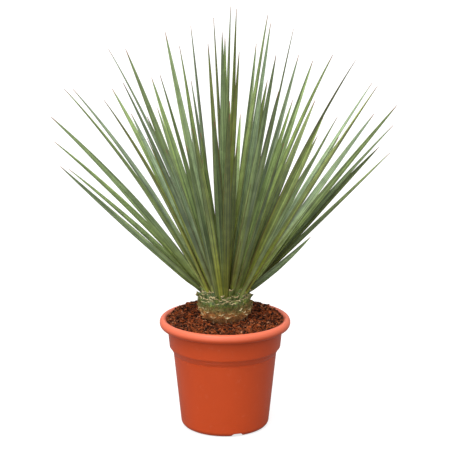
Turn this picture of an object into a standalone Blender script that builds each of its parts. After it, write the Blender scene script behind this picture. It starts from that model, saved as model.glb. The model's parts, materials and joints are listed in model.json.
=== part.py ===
"""Potted nolina: a stiff rosette of channelled leaves on a short scaly stem, in a plastic grower's pot.

Metres, +Z up. The origin is on the surface that the pot stands on, under the pot's axis, and -Y is the front.
"""
import math
import random

import bmesh
import bpy
from mathutils import Vector, noise

MM = 0.001
UP = Vector((0, 0, 1))

# The pot, a turned plastic shell with a rolled rim, a collar and a notched foot
POT_SIDES = 36
RIM_RADIUS = 120 * MM
POT_HEIGHT = 204.5 * MM
ROLL_WIDTH = 13.2 * MM
ROLL_HEIGHT = 16.8 * MM
WALL = 2.2 * MM
ROLL_ARC = (170, -90)
ROLL_INNER_ARC = (-90, 160)
LIP_INSIDE = (105.3 * MM, 193 * MM)
COLLAR_FLARE = (106.1 * MM, 190.0 * MM)
COLLAR_TOP = (105.4 * MM, 186.0 * MM)
COLLAR_BOTTOM = (101.9 * MM, 150.4 * MM)
BODY_TOP = (94.7 * MM, 139.4 * MM)
STEP_ROUNDING = 1.6 * MM
FLOOR_ROUNDING = 3.5 * MM
BASE_RADIUS = 81.4 * MM
BASE_CORNER = 10.7 * MM
FOOT_WIDTH = 4.7 * MM
FLOOR_UNDERSIDE = 8.0 * MM
NOTCHES = 3
NOTCH_TURN = math.radians(16.6)
NOTCH_WIDTH_BELOW = 24 * MM
NOTCH_WIDTH_ABOVE = 15 * MM
NOTCH_HEIGHT = 6.4 * MM
DRAIN_HOLES = 6
DRAIN_RADIUS = 5.5 * MM
DRAIN_RING = 50 * MM
DRAIN_SIDES = 8
CUTTER_EXCESS = 3 * MM

# The soil, heaped a little above the rim, with a hole for the stem
CLEARANCE = 0.35 * MM
SOIL_RADIUS = 108.0 * MM
SOIL_RINGS = (57 * MM, 66 * MM, 75 * MM, 84 * MM, 92 * MM, 100 * MM)
SOIL_EDGE_HEIGHT = 201.6 * MM
SOIL_HEIGHT = 205.5 * MM
SOIL_SLOPE = 0.045
SOIL_SHOULDER = 12 * MM
SOIL_SWELL = 3.0 * MM
SOIL_GRAIN = 1.6 * MM
SOIL_GRAIN_SIZE = 14 * MM
HOLE_FLOOR = 150.0 * MM
HOLE_NECK_HEIGHT = 192 * MM
HOLE_MOUTH_RADIUS = 47.5 * MM

# The stem, which stands in the soil and is covered in old cut leaf bases
STEM_SIDES = 18
STEM_RADIUS = 30 * MM
STEM_PROFILE = ((46.0 * MM, 229 * MM), (45.0 * MM, 218 * MM), (39.5 * MM, 208 * MM), (STEM_RADIUS, 199 * MM))
STEM_TOP = 232 * MM
STEM_TOP_RADIUS = 45 * MM
SCALES = 36
SCALE_BAND = (204 * MM, 221 * MM)
SCALE_LENGTH = (7.2 * MM, 12 * MM)
SCALE_FOOT_WIDTH = 18.7 * MM
SCALE_WIDTH = (12 * MM, 17 * MM)
SCALE_REACH = (0.6 * MM, 3.3 * MM)
SCALE_DEPTH = 3.5 * MM
SCALE_MARGIN = 1.5 * MM
SCALE_TWIST = math.radians(15)
SCALE_SPINE = 1.0 * MM
SHORT_FOLD = 0.40

# The leaf head: a small dome that carries the leaves and, round its foot, the green stubs of cut ones
DOME_SIDES = 16
DOME_PROFILE = ((0, 290 * MM), (22 * MM, 273 * MM), (38 * MM, 250 * MM), (44.5 * MM, 238 * MM))
HEAD_GAP = 0.4 * MM
STUBS = 24
STUB_FOOT_RADIUS = 31 * MM
STUB_BAND = (237 * MM, 248 * MM)
STUB_LEAN = (math.radians(30), math.radians(66))
STUB_LEAN_SCATTER = math.radians(5)
STUB_LENGTH = (15 * MM, 26 * MM)
STUB_FOOT_WIDTH = 17.6 * MM
STUB_WIDTH = (12 * MM, 16 * MM)
STUB_TWIST = math.radians(12)
STUB_SPINE = 1.5 * MM

# Leaves
GOLDEN_ANGLE = math.radians(137.508)
LEAF_LENGTH = 510 * MM
LEAST_DEPTH_SHARE = 0.2
LEAF_WIDTH = (12.0 * MM, 15.5 * MM)
LEAF_STATIONS = (0, 0.20, 0.52, 0.81, 1.0)
TAPER_SHARE = 0.50
TAPER_POWER = 0.65
LEAF_ROLL = math.radians(45)
SIDE_ROLL = math.radians(38)
SIDE_ROLL_SCATTER = math.radians(22)
LEAF_TWIST = math.radians(25)
ROLL_SHARE = 0.15
ROOT_NARROWING = 0.25
ROOT_SHARE = 0.06
FOLD = 0.58
MARGIN = 0.8 * MM
KEEL_SHARE = 0.15
TIP_WIDTH = 1.2 * MM
ROOT_RADIUS = 41 * MM
ROOT_RISE = 34 * MM
ROOT_POLAR = math.radians(68)
FRONT_ROOT_POLAR = math.radians(80)
ROOT_FULL_LEAN = math.radians(36)
ROOT_LOWEST = 1.1
ROOT_SCATTER = math.radians(9)
ROOT_DEPTH = 12 * MM
ROOT_LEAST_HEIGHT = 237 * MM
CROWN = Vector((0, 0, 238 * MM))
CROWN_SEEN = 240 * MM
PLAN_RADIUS = 312 * MM
FRONT_LEAN = math.radians(37)
EYE = Vector((0, -2575 * MM, 967 * MM))
UPRIGHT_BOW = -0.005
SIDE_BOW = 0.045
LEFT_BOW = 0.021
BOW_SCATTER = 0.01

# Where each leaf of the fan ends as seen from EYE, in millimetres: across from the axis, and height
FAN_TIPS = (
    (-295, 485), (-280, 480), (-305, 530), (-310, 575), (-285, 625), (-270, 625), (-215, 605),
    (-200, 625), (-205, 695), (-175, 695), (-180, 635), (-130, 645), (-115, 650), (-105, 725),
    (-80, 700), (-75, 675), (-60, 735), (-60, 640), (-30, 705), (-20, 750), (-5, 725), (0, 715),
    (10, 770), (20, 765), (25, 690), (55, 705), (75, 755), (80, 740), (90, 685), (75, 640),
    (120, 730), (130, 685), (95, 620), (155, 675), (190, 685), (160, 605), (230, 675), (165, 540),
    (200, 575), (260, 635), (270, 630), (225, 560), (265, 580), (305, 595), (300, 560), (275, 520),
    (295, 510),
)
# The bows of the leaves that arch more or less than the rule has it, by their number in the fan
OWN_BOWS = {0: -0.015, 1: 0.025, 4: 0.060, 5: 0.065, 6: 0.060, 8: 0.055, 34: 0.050, 36: 0.050, 46: -0.015}

# The leaves that hang furthest forward, and a short one low on the right, in the same way
FORWARD_TIPS = ((8, 580), (-58, 554))
SHORT_TIP = (155, 355)
FORWARD_DEPTH = 285 * MM
FORWARD_BOW = 0.06
SHORT_DEPTH = 20 * MM
SHORT_BOW = -0.05

# The leaves that fill the head behind and before those of the fan. They end among them, as seen from EYE
INNER_LEAVES = 32
INNER_LEAST_LEAN = math.radians(8)
INNER_BACK = (math.radians(48), math.radians(62), 395 * MM)
INNER_FRONT = (math.radians(34), math.radians(50), 310 * MM)
INNER_REACH_SHARE = 0.8
INNER_LONGEST = 440 * MM

COLOURS = {
    "pot": ((0.56, 0.085, 0.026), 0.55),
    "soil": ((0.055, 0.020, 0.010), 0.95),
    "trunk": ((0.33, 0.17, 0.065), 0.80),
    "leaf_head": ((0.15, 0.22, 0.095), 0.55),
}


def clear_scene():
    for thing in list(bpy.data.objects):
        bpy.data.objects.remove(thing, do_unlink=True)


def make_collection(name):
    collection = bpy.data.collections.new(name)
    bpy.context.scene.collection.children.link(collection)
    return collection


def make_material(name):
    colour, roughness = COLOURS[name]
    material = bpy.data.materials.new(name)
    material.use_nodes = True
    shader = material.node_tree.nodes["Principled BSDF"]
    shader.inputs["Base Color"].default_value = (*colour, 1)
    shader.inputs["Roughness"].default_value = roughness
    shader.inputs["Metallic"].default_value = 0
    return material


def add_object(name, mesh, collection):
    thing = bpy.data.objects.new(name, mesh)
    collection.objects.link(thing)
    return thing


def dress(thing, sharp_angle):
    thing.data.materials.clear()
    thing.data.materials.append(make_material(thing.name))
    thing.data.shade_smooth()
    thing.data.set_sharp_from_angle(angle=math.radians(sharp_angle))


def apply_modifiers(thing):
    """Puts the shape that the modifiers give into the object's own mesh."""
    graph = bpy.context.evaluated_depsgraph_get()
    shape = bpy.data.meshes.new_from_object(thing.evaluated_get(graph))
    old = thing.data
    thing.modifiers.clear()
    thing.data = shape
    bpy.data.meshes.remove(old)


def turned(name, profile, sides, collection):
    """Turns a profile of (radius, height) points, which runs down its outer side, about Z."""
    mesh = bpy.data.meshes.new(name)
    edges = [(i, i + 1) for i in range(len(profile) - 1)]
    mesh.from_pydata([(radius, 0, height) for radius, height in profile], edges, [])
    thing = add_object(name, mesh, collection)
    screw = thing.modifiers.new("Screw", "SCREW")
    screw.axis = "Z"
    screw.steps = sides
    screw.render_steps = sides
    screw.use_merge_vertices = True
    screw.merge_threshold = 0.00001
    apply_modifiers(thing)
    return thing


def boolean(thing, operation, collection, solver="EXACT"):
    """Joins or cuts with everything in a collection, applies it and removes those objects."""
    modifier = thing.modifiers.new("Boolean", "BOOLEAN")
    modifier.operation = operation
    modifier.operand_type = "COLLECTION"
    modifier.collection = collection
    modifier.solver = solver
    apply_modifiers(thing)
    for tool in list(collection.objects):
        bpy.data.objects.remove(tool, do_unlink=True)
    bpy.data.collections.remove(collection)


def keep_one_body(thing):
    """Fills the hollows that fusing sealed and drops loose scraps: only the largest closed skin stays."""
    shape = bmesh.new()
    shape.from_mesh(thing.data)
    unseen = set(shape.verts)
    skins = []
    while unseen:
        skin = set()
        edge_of_search = [unseen.pop()]
        while edge_of_search:
            corner = edge_of_search.pop()
            skin.add(corner)
            near = {edge.other_vert(corner) for edge in corner.link_edges} & unseen
            unseen -= near
            edge_of_search.extend(near)
        skins.append(skin)
    skins.sort(key=len)
    for skin in skins[:-1]:
        bmesh.ops.delete(shape, geom=list(skin), context="VERTS")
    shape.to_mesh(thing.data)
    shape.free()


def arc(centre, radii, start, end, steps):
    """Points on an elliptical arc in the (radius, height) plane, between two angles in degrees."""
    points = []
    for step in range(steps + 1):
        angle = math.radians(start + (end - start) * step / steps)
        points.append((centre[0] + radii[0] * math.cos(angle), centre[1] + radii[1] * math.sin(angle)))
    return points


def inner_wall():
    """The pot's inner face, from its rolled rim down to its floor."""
    floor = FLOOR_UNDERSIDE + WALL
    return [
        LIP_INSIDE,
        (COLLAR_TOP[0] - WALL, COLLAR_TOP[1]),
        (COLLAR_BOTTOM[0] - WALL, COLLAR_BOTTOM[1] + STEP_ROUNDING),
        (BODY_TOP[0] - WALL, BODY_TOP[1] + STEP_ROUNDING),
        (BASE_RADIUS - WALL, floor + FLOOR_ROUNDING),
        (BASE_RADIUS - WALL - FLOOR_ROUNDING, floor),
    ]


def pot_profile():
    """From the middle of the floor, up the inside, over the rim, down the outside and in under the floor."""
    centre = (RIM_RADIUS - ROLL_WIDTH / 2, POT_HEIGHT - ROLL_HEIGHT / 2)
    outer = (ROLL_WIDTH / 2, ROLL_HEIGHT / 2)
    inner = (outer[0] - WALL, outer[1] - WALL)
    corner = (BASE_RADIUS - BASE_CORNER, BASE_CORNER)
    skirt = BASE_CORNER - WALL
    meet = math.degrees(math.asin((BASE_CORNER - FLOOR_UNDERSIDE) / skirt))
    profile = [(0, FLOOR_UNDERSIDE + WALL)]
    profile += reversed(inner_wall())
    profile += arc(centre, outer, *ROLL_ARC, 6)
    profile += arc(centre, inner, *ROLL_INNER_ARC, 4)
    profile += [COLLAR_FLARE, COLLAR_TOP]
    profile += [(COLLAR_BOTTOM[0], COLLAR_BOTTOM[1] + STEP_ROUNDING)]
    profile += [(COLLAR_BOTTOM[0] - STEP_ROUNDING, COLLAR_BOTTOM[1])]
    profile += [(BODY_TOP[0] + STEP_ROUNDING / 2, BODY_TOP[1] + STEP_ROUNDING)]
    profile += [(BODY_TOP[0], BODY_TOP[1] - STEP_ROUNDING / 2)]
    profile += arc(corner, (BASE_CORNER, BASE_CORNER), 0, -90, 3)
    profile += [(corner[0] - FOOT_WIDTH, 0), (corner[0] - FOOT_WIDTH, WALL)]
    profile += arc(corner, (skirt, skirt), -90, -meet, 2)
    profile += [(0, FLOOR_UNDERSIDE)]
    return profile


def notch_cutter(number, collection):
    """A prism, wider below, that cuts one notch through the foot."""
    mesh = bpy.data.meshes.new("notch cutter")
    shape = bmesh.new()
    bmesh.ops.create_cube(shape, size=1)
    foot_inside = BASE_RADIUS - BASE_CORNER - FOOT_WIDTH
    slope = (NOTCH_WIDTH_BELOW - NOTCH_WIDTH_ABOVE) / NOTCH_HEIGHT
    for corner in shape.verts:
        height = NOTCH_HEIGHT if corner.co.z > 0 else -CUTTER_EXCESS
        width = NOTCH_WIDTH_ABOVE + slope * (NOTCH_HEIGHT - height)
        distance = BASE_RADIUS + CUTTER_EXCESS if corner.co.y < 0 else foot_inside - CUTTER_EXCESS
        corner.co = Vector((math.copysign(width / 2, corner.co.x), -distance, height))
    shape.to_mesh(mesh)
    shape.free()
    cutter = add_object("notch cutter", mesh, collection)
    cutter.rotation_euler.z = NOTCH_TURN + number * math.tau / NOTCHES


def drain_cutter(number, collection):
    """A drill for one hole in the floor."""
    mesh = bpy.data.meshes.new("drain cutter")
    shape = bmesh.new()
    bmesh.ops.create_cone(shape, cap_ends=True, segments=DRAIN_SIDES, radius1=DRAIN_RADIUS,
                          radius2=DRAIN_RADIUS, depth=WALL + 2 * CUTTER_EXCESS)
    shape.to_mesh(mesh)
    shape.free()
    cutter = add_object("drain cutter", mesh, collection)
    turn = (number + 0.5) * math.tau / DRAIN_HOLES
    cutter.location = (DRAIN_RING * math.cos(turn), DRAIN_RING * math.sin(turn), FLOOR_UNDERSIDE + WALL / 2)


def build_pot(collection):
    pot = turned("pot", pot_profile(), POT_SIDES, collection)
    cutters = make_collection("cutters")
    for number in range(NOTCHES):
        notch_cutter(number, cutters)
    for number in range(DRAIN_HOLES):
        drain_cutter(number, cutters)
    for cutter in cutters.objects:
        cutter.hide_render = True
        cutter.display_type = "WIRE"
    bpy.context.view_layer.update()
    boolean(pot, "DIFFERENCE", cutters)
    dress(pot, 32)


def soil_lift(x, y):
    """How far the soil's surface stands above its edge at the wall."""
    radius = math.hypot(x, y)
    rise = min(1, max(0, (SOIL_RADIUS - radius) / SOIL_SHOULDER))
    rise = rise * rise * (3 - 2 * rise)
    out = (radius - HOLE_MOUTH_RADIUS) / (SOIL_RADIUS - HOLE_MOUTH_RADIUS)
    swell = SOIL_SWELL * math.sin(math.pi * min(1, max(0, out)))
    grain = SOIL_GRAIN * noise.noise(Vector((x, y, 0)) / SOIL_GRAIN_SIZE)
    return rise * (SOIL_HEIGHT - SOIL_EDGE_HEIGHT + SOIL_SLOPE * y + swell + grain)


def build_soil(collection):
    """A turned plug that fills the pot, with its top raised by a formula."""
    wall = [(radius - CLEARANCE, height + CLEARANCE) for radius, height in inner_wall()]
    hole = STEM_RADIUS + CLEARANCE
    rings = [HOLE_MOUTH_RADIUS, *SOIL_RINGS, SOIL_RADIUS]
    profile = [(0, HOLE_FLOOR - CLEARANCE), (hole, HOLE_FLOOR - CLEARANCE), (hole, HOLE_NECK_HEIGHT)]
    profile += [(radius, SOIL_EDGE_HEIGHT) for radius in rings]
    profile += wall
    profile += [(0, wall[-1][1])]
    soil = turned("soil", profile, POT_SIDES, collection)
    for corner in soil.data.vertices:
        if corner.co.z > SOIL_EDGE_HEIGHT - CLEARANCE:
            corner.co.z += soil_lift(corner.co.x, corner.co.y)
    dress(soil, 60)


def leaf_section(width, spine, fold):
    """Six points round a channelled section: two thin margins, the keel below and the channel above."""
    half = width / 2
    lift = half * fold
    keel = max(MARGIN, KEEL_SHARE * width) + spine
    return [(-half, lift), (-half, lift - MARGIN), (0, -keel), (half, lift - MARGIN), (half, lift), (0, 0)]


def leaf_solid(name, path, widths, rolls, outward, collection, spine=0.0, fold=FOLD):
    """A closed blade along a path. Its keel faces away from the axis and its faces are split alike."""
    shape = bmesh.new()
    level = UP.cross(outward)
    rings = []
    for index, point in enumerate(path):
        before = path[max(index - 1, 0)]
        after = path[min(index + 1, len(path) - 1)]
        along = (after - before).normalized()
        inward = along.cross(level)
        turn = rolls[index]
        across = level * math.cos(turn) + inward * math.sin(turn)
        facing = inward * math.cos(turn) - level * math.sin(turn)
        ring = []
        for side, lift in leaf_section(widths[index], spine, fold):
            ring.append(shape.verts.new(point + across * side + facing * lift))
        rings.append(ring)
    # In each pair the first point is the outer one, where the splits of both faces begin
    runs = ((0, 5), (1, 2), (4, 5), (3, 2), (0, 1), (4, 3))
    for near, far in zip(rings, rings[1:]):
        for outer, inner in runs:
            shape.faces.new((near[outer], near[inner], far[inner]))
            shape.faces.new((near[outer], far[inner], far[outer]))
    for ring in (rings[0], rings[-1]):
        for second, third in ((3, 4), (4, 5), (5, 0), (0, 1)):
            shape.faces.new((ring[2], ring[second], ring[third]))
    bmesh.ops.recalc_face_normals(shape, faces=shape.faces)
    mesh = bpy.data.meshes.new(name)
    shape.to_mesh(mesh)
    shape.free()
    return add_object(name, mesh, collection)


def leaf_width(share, width):
    """Full for half of the leaf, then a long taper to the point, and narrower at the hidden root."""
    taper = min(1, (1 - share) / TAPER_SHARE) ** TAPER_POWER
    root = 1 - ROOT_NARROWING * math.exp(-share / ROOT_SHARE)
    return max(TIP_WIDTH, width * taper * root)


def along_sight(across, height, depth):
    """The point at a depth behind the picture plane that is seen from EYE at this place in it."""
    seen = Vector((across, 0, height))
    return seen + (seen - EYE) * (depth / -EYE.y)


def lean_of(tip):
    return (tip - CROWN).angle(UP)


def leaf_root(tip, scatter):
    """Where a leaf with this tip starts inside the dome, and which way it leans out."""
    way = tip - CROWN
    outward = Vector((way.x, way.y, 0)).normalized()
    lean = lean_of(tip)
    lowest = ROOT_POLAR + (FRONT_ROOT_POLAR - ROOT_POLAR) * max(0, -outward.y)
    polar = lowest * min(ROOT_LOWEST, lean / ROOT_FULL_LEAN) + scatter
    surface = CROWN + outward * (ROOT_RADIUS * math.sin(polar)) + UP * (ROOT_RISE * math.cos(polar))
    root = surface - (outward * math.sin(lean) + UP * math.cos(lean)) * ROOT_DEPTH
    root.z = max(root.z, ROOT_LEAST_HEIGHT)
    return root, outward


def leaf_plan(tip, draw):
    """One leaf's measurements: its ends, bow, width and how it is rolled and twisted."""
    root, outward = leaf_root(tip, draw.uniform(-ROOT_SCATTER, ROOT_SCATTER))
    sideways = abs(outward.x)
    chance = draw.uniform(-1, 1)
    side_roll = math.copysign(SIDE_ROLL + SIDE_ROLL_SCATTER * chance, outward.x)
    roll = LEAF_ROLL * chance * (1 - sideways) + side_roll * sideways
    arching = SIDE_BOW * sideways - LEFT_BOW * outward.x
    return {
        "root": root,
        "tip": tip,
        "outward": outward,
        "bow": UPRIGHT_BOW + lean_of(tip) * arching + draw.uniform(-BOW_SCATTER, BOW_SCATTER),
        "width": draw.uniform(*LEAF_WIDTH),
        "roll": roll,
        "twist": draw.uniform(-LEAF_TWIST, LEAF_TWIST),
    }


def fan_leaves(draw):
    """The leaves seen in the fan. One that seems short leans in depth, by a share of what it lacks."""
    plans = []
    for number, (across, height) in enumerate(FAN_TIPS):
        across = across * MM
        height = height * MM
        reach = math.hypot(across, height - CROWN_SEEN)
        depth = math.sqrt(max(0, LEAF_LENGTH ** 2 - reach ** 2))
        depth = min(depth, math.sqrt(PLAN_RADIUS ** 2 - across ** 2))
        spread = number * GOLDEN_ANGLE / math.tau % 1
        depth *= LEAST_DEPTH_SHARE + (1 - LEAST_DEPTH_SHARE) * math.sqrt(spread)
        tip = along_sight(across, height, -depth)
        if number % 2 or lean_of(tip) > FRONT_LEAN:
            tip = along_sight(across, height, depth)
        plan = leaf_plan(tip, draw)
        plan["bow"] = OWN_BOWS.get(number, plan["bow"])
        plans.append(plan)
    return plans


def forward_leaves(draw):
    plans = []
    for across, height in FORWARD_TIPS:
        tip = along_sight(across * MM, height * MM, -FORWARD_DEPTH)
        plan = leaf_plan(tip, draw)
        plan["bow"] = FORWARD_BOW
        plan["roll"] = 0
        plans.append(plan)
    short = leaf_plan(along_sight(SHORT_TIP[0] * MM, SHORT_TIP[1] * MM, -SHORT_DEPTH), draw)
    short["bow"] = SHORT_BOW
    return plans + [short]


def inner_leaves(draw):
    """Two thirds of these lean back and the rest forward, evenly spread by golden ratios."""
    sight = (CROWN - EYE).normalized()
    plans = []
    for number in range(INNER_LEAVES):
        forward = number % 3 == 0
        most, swing, reach = INNER_FRONT if forward else INNER_BACK
        share = math.sqrt((number + 0.5) / INNER_LEAVES)
        lean = INNER_LEAST_LEAN + (most - INNER_LEAST_LEAN) * share
        turn = swing * (2 * (number * GOLDEN_ANGLE / math.tau % 1) - 1)
        outward = Vector((math.sin(turn), -math.cos(turn) if forward else math.cos(turn), 0))
        way = outward * math.sin(lean) + UP * math.cos(lean)
        reach *= draw.uniform(INNER_REACH_SHARE, 1)
        length = min(INNER_LONGEST, reach / way.cross(sight).length)
        plans.append(leaf_plan(CROWN + way * length, draw))
    return plans


def leaf_plans():
    draw = random.Random(11)
    return fan_leaves(draw) + forward_leaves(draw) + inner_leaves(draw)


def leaf_path(plan, stations):
    """A smooth curve from root to tip that arches up by the leaf's bow."""
    chord = plan["tip"] - plan["root"]
    level = UP.cross(plan["outward"])
    arch = chord.cross(level).normalized()
    middle = plan["root"] + chord * 0.5 + arch * (chord.length * plan["bow"])
    points = []
    for share in stations:
        rest = 1 - share
        points.append(plan["root"] * rest ** 2 + middle * (2 * rest * share) + plan["tip"] * share ** 2)
    return points


def leaf_rolls(plan, stations):
    """A leaf clasps the stem at its base, rolls soon after and twists evenly to its tip."""
    return [plan["roll"] * min(1, share / ROLL_SHARE) + plan["twist"] * share for share in stations]


def build_leaf(plan, collection):
    path = leaf_path(plan, LEAF_STATIONS)
    widths = [leaf_width(share, plan["width"]) for share in LEAF_STATIONS]
    leaf_solid("leaf", path, widths, leaf_rolls(plan, LEAF_STATIONS), plan["outward"], collection)


def build_stub(number, draw, collection):
    """The base of a leaf that was cut off short, low on the dome. The lowest lean out furthest."""
    turn = number * GOLDEN_ANGLE
    outward = Vector((math.cos(turn), math.sin(turn), 0))
    share = (number + 0.5) / STUBS
    lean = STUB_LEAN[1] + (STUB_LEAN[0] - STUB_LEAN[1]) * share
    lean += draw.uniform(-STUB_LEAN_SCATTER, STUB_LEAN_SCATTER)
    foot = outward * STUB_FOOT_RADIUS + UP * (STUB_BAND[0] + (STUB_BAND[1] - STUB_BAND[0]) * share)
    way = outward * math.sin(lean) + UP * math.cos(lean)
    path = [foot, foot + way * draw.uniform(*STUB_LENGTH)]
    widths = [STUB_FOOT_WIDTH, draw.uniform(*STUB_WIDTH)]
    rolls = [0, draw.uniform(-STUB_TWIST, STUB_TWIST)]
    leaf_solid("stub", path, widths, rolls, outward, collection, STUB_SPINE, SHORT_FOLD)


def stem_radius(height):
    """The stem's radius at a height, between the points of its profile."""
    for (wide, above), (narrow, below) in zip(STEM_PROFILE, STEM_PROFILE[1:]):
        if height >= below:
            return narrow + (wide - narrow) * min(1, (height - below) / (above - below))
    return STEM_RADIUS


def build_scale(number, draw, collection):
    """A clasping old leaf base on the stem, broad, thick and cut straight."""
    turn = number * GOLDEN_ANGLE
    outward = Vector((math.cos(turn), math.sin(turn), 0))
    height = SCALE_BAND[0] + (SCALE_BAND[1] - SCALE_BAND[0]) * (number + 0.5) / SCALES
    foot = outward * (stem_radius(height) - SCALE_DEPTH) + UP * height
    rise = min(draw.uniform(*SCALE_LENGTH), STEM_TOP - SCALE_MARGIN - height)
    top = stem_radius(height + rise) + draw.uniform(*SCALE_REACH)
    path = [foot, outward * top + UP * (height + rise)]
    widths = [SCALE_FOOT_WIDTH, draw.uniform(*SCALE_WIDTH)]
    rolls = [0, draw.uniform(-SCALE_TWIST, SCALE_TWIST)]
    leaf_solid("scale", path, widths, rolls, outward, collection, SCALE_SPINE, SHORT_FOLD)


def build_trunk(collection):
    profile = [(0, STEM_TOP), (STEM_TOP_RADIUS, STEM_TOP), *STEM_PROFILE]
    profile += [(STEM_RADIUS, HOLE_FLOOR), (0, HOLE_FLOOR)]
    trunk = turned("trunk", profile, STEM_SIDES, collection)
    repeats = make_collection("scales")
    draw = random.Random(5)
    for number in range(SCALES):
        build_scale(number, draw, repeats)
    boolean(trunk, "UNION", repeats, "MANIFOLD")
    keep_one_body(trunk)
    dress(trunk, 40)


def build_leaf_head(collection):
    foot = STEM_TOP + HEAD_GAP
    profile = [*DOME_PROFILE, (DOME_PROFILE[-1][0], foot), (0, foot)]
    head = turned("leaf_head", profile, DOME_SIDES, collection)
    repeats = make_collection("leaves")
    draw = random.Random(7)
    for number in range(STUBS):
        build_stub(number, draw, repeats)
    for plan in leaf_plans():
        build_leaf(plan, repeats)
    boolean(head, "UNION", repeats, "MANIFOLD")
    keep_one_body(head)
    dress(head, 30)


def main():
    clear_scene()
    collection = make_collection("potted nolina")
    build_pot(collection)
    build_soil(collection)
    build_trunk(collection)
    build_leaf_head(collection)


main()
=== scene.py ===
"""Potted nolina: finely modelled pot, potting mix, scaly stem and leaves, on a pale studio floor.

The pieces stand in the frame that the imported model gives: metres, +Z up, -Y the front.
"""
import json
import math
import random

import bmesh
import bpy
from bpy.props import FloatProperty, FloatVectorProperty, IntProperty, PointerProperty
from mathutils import Matrix, Vector, noise

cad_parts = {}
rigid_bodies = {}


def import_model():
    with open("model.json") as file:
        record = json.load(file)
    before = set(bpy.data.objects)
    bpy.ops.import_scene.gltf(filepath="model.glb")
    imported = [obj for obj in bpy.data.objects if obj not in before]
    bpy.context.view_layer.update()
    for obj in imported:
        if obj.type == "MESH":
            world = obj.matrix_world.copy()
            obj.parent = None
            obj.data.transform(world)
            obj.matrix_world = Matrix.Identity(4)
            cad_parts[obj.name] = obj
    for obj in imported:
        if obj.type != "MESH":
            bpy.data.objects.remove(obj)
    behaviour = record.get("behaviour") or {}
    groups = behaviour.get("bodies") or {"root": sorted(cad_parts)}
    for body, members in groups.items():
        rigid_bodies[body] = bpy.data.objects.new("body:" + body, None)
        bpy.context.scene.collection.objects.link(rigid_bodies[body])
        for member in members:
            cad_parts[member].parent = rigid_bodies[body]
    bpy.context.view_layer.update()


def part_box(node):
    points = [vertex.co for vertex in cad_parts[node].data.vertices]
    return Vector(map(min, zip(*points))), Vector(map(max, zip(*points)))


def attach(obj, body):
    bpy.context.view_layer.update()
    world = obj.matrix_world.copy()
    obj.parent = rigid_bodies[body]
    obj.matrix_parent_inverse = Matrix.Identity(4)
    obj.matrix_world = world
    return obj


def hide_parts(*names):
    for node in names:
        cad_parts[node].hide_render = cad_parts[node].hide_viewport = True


bl_info = {
    "name": "Potted nolina",
    "version": (1, 0, 0),
    "blender": (4, 5, 0),
    "location": "3D View > Sidebar > Nolina",
    "description": "Builds a potted nolina and its studio, one piece at a time",
    "category": "Add Mesh",
}

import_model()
_, pot_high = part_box("pot")

MM = 0.001
UP = Vector((0, 0, 1))
GOLDEN_ANGLE = math.radians(137.508)

# The pot's form, as radius and height
POT_SIDES = 180
ROLL_WIDTH = 13.2 * MM
ROLL_HEIGHT = 16.8 * MM
ROLL_ARC = (170, -90)
ROLL_INNER_ARC = (-90, 160)
LIP_INSIDE = (105.3 * MM, 193 * MM)
COLLAR_FLARE = (106.1 * MM, 190.0 * MM)
COLLAR_TOP = (105.4 * MM, 186.0 * MM)
COLLAR_BOTTOM = (101.9 * MM, 150.4 * MM)
BODY_TOP = (94.7 * MM, 139.4 * MM)
STEP_ROUNDING = 1.6 * MM
FLOOR_ROUNDING = 3.5 * MM
BASE_RADIUS = 81.4 * MM
BASE_CORNER = 10.7 * MM
FOOT_WIDTH = 4.7 * MM
FLOOR_UNDERSIDE = 8.0 * MM
MOULD_LINE = (27 * MM, 0.18 * MM, 0.6 * MM)
GROOVE = (2.0 * MM, 0.55 * MM)
GROOVE_SHARES = (0.47, 0.012)
PROFILE_STEP = 4 * MM
NOTCHES = 3
NOTCH_TURN = math.radians(16.6)
NOTCH_WIDTH_BELOW = 24 * MM
NOTCH_WIDTH_ABOVE = 15 * MM
NOTCH_HEIGHT = 6.4 * MM
DRAIN_HOLES = 6
DRAIN_RADIUS = 5.5 * MM
DRAIN_RING = 50 * MM
DRAIN_SIDES = 32
NOTCH_ROUNDING = 2 * MM
CUTTER_EXCESS = 3 * MM
WELD = 0.01 * MM
ROLL_STEPS = 40
ROLL_INNER_STEPS = 24
CORNER_STEPS = 16
CORNER_INNER_STEPS = 10

# The soil's form
CLEARANCE = 0.35 * MM
SOIL_SIDES = 300
SOIL_RADIUS = 108.0 * MM
SOIL_RINGS = 100
SOIL_EDGE_HEIGHT = 201.6 * MM
SOIL_HEIGHT = 205.5 * MM
SOIL_SLOPE = 0.045
SOIL_SHOULDER = 12 * MM
SOIL_SWELL = 3.0 * MM
SOIL_GRAIN = 1.6 * MM
SOIL_GRAIN_SIZE = 14 * MM
SOIL_CRUMBS = ((13 * MM, 2.6 * MM), (6 * MM, 1.8 * MM), (2.4 * MM, 0.9 * MM))
HOLE_FLOOR = 150.0 * MM
HOLE_NECK_HEIGHT = 192 * MM
HOLE_MOUTH_RADIUS = 47.5 * MM
CHIP_SIZE = (1.0 * MM, 4.8 * MM)
CRUMB_FADE = 3 * MM
CHIP_SIDES = 5
CHIP_TILT = 0.5
CHIP_ROLL = 0.4
CHIP_RIM_GAP = 1 * MM
CHIP_LEVELS = ((-0.6, 0.7), (0.1, 1.0), (0.7, 0.6))
SOIL_FIBRE_LENGTH = (4 * MM, 15 * MM)
SOIL_FIBRE_RADIUS = (0.16 * MM, 0.38 * MM)
SOIL_FIBRE_LIFT = (0.1 * MM, 0.8 * MM)
SOIL_FIBRE_STEPS = 5

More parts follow.
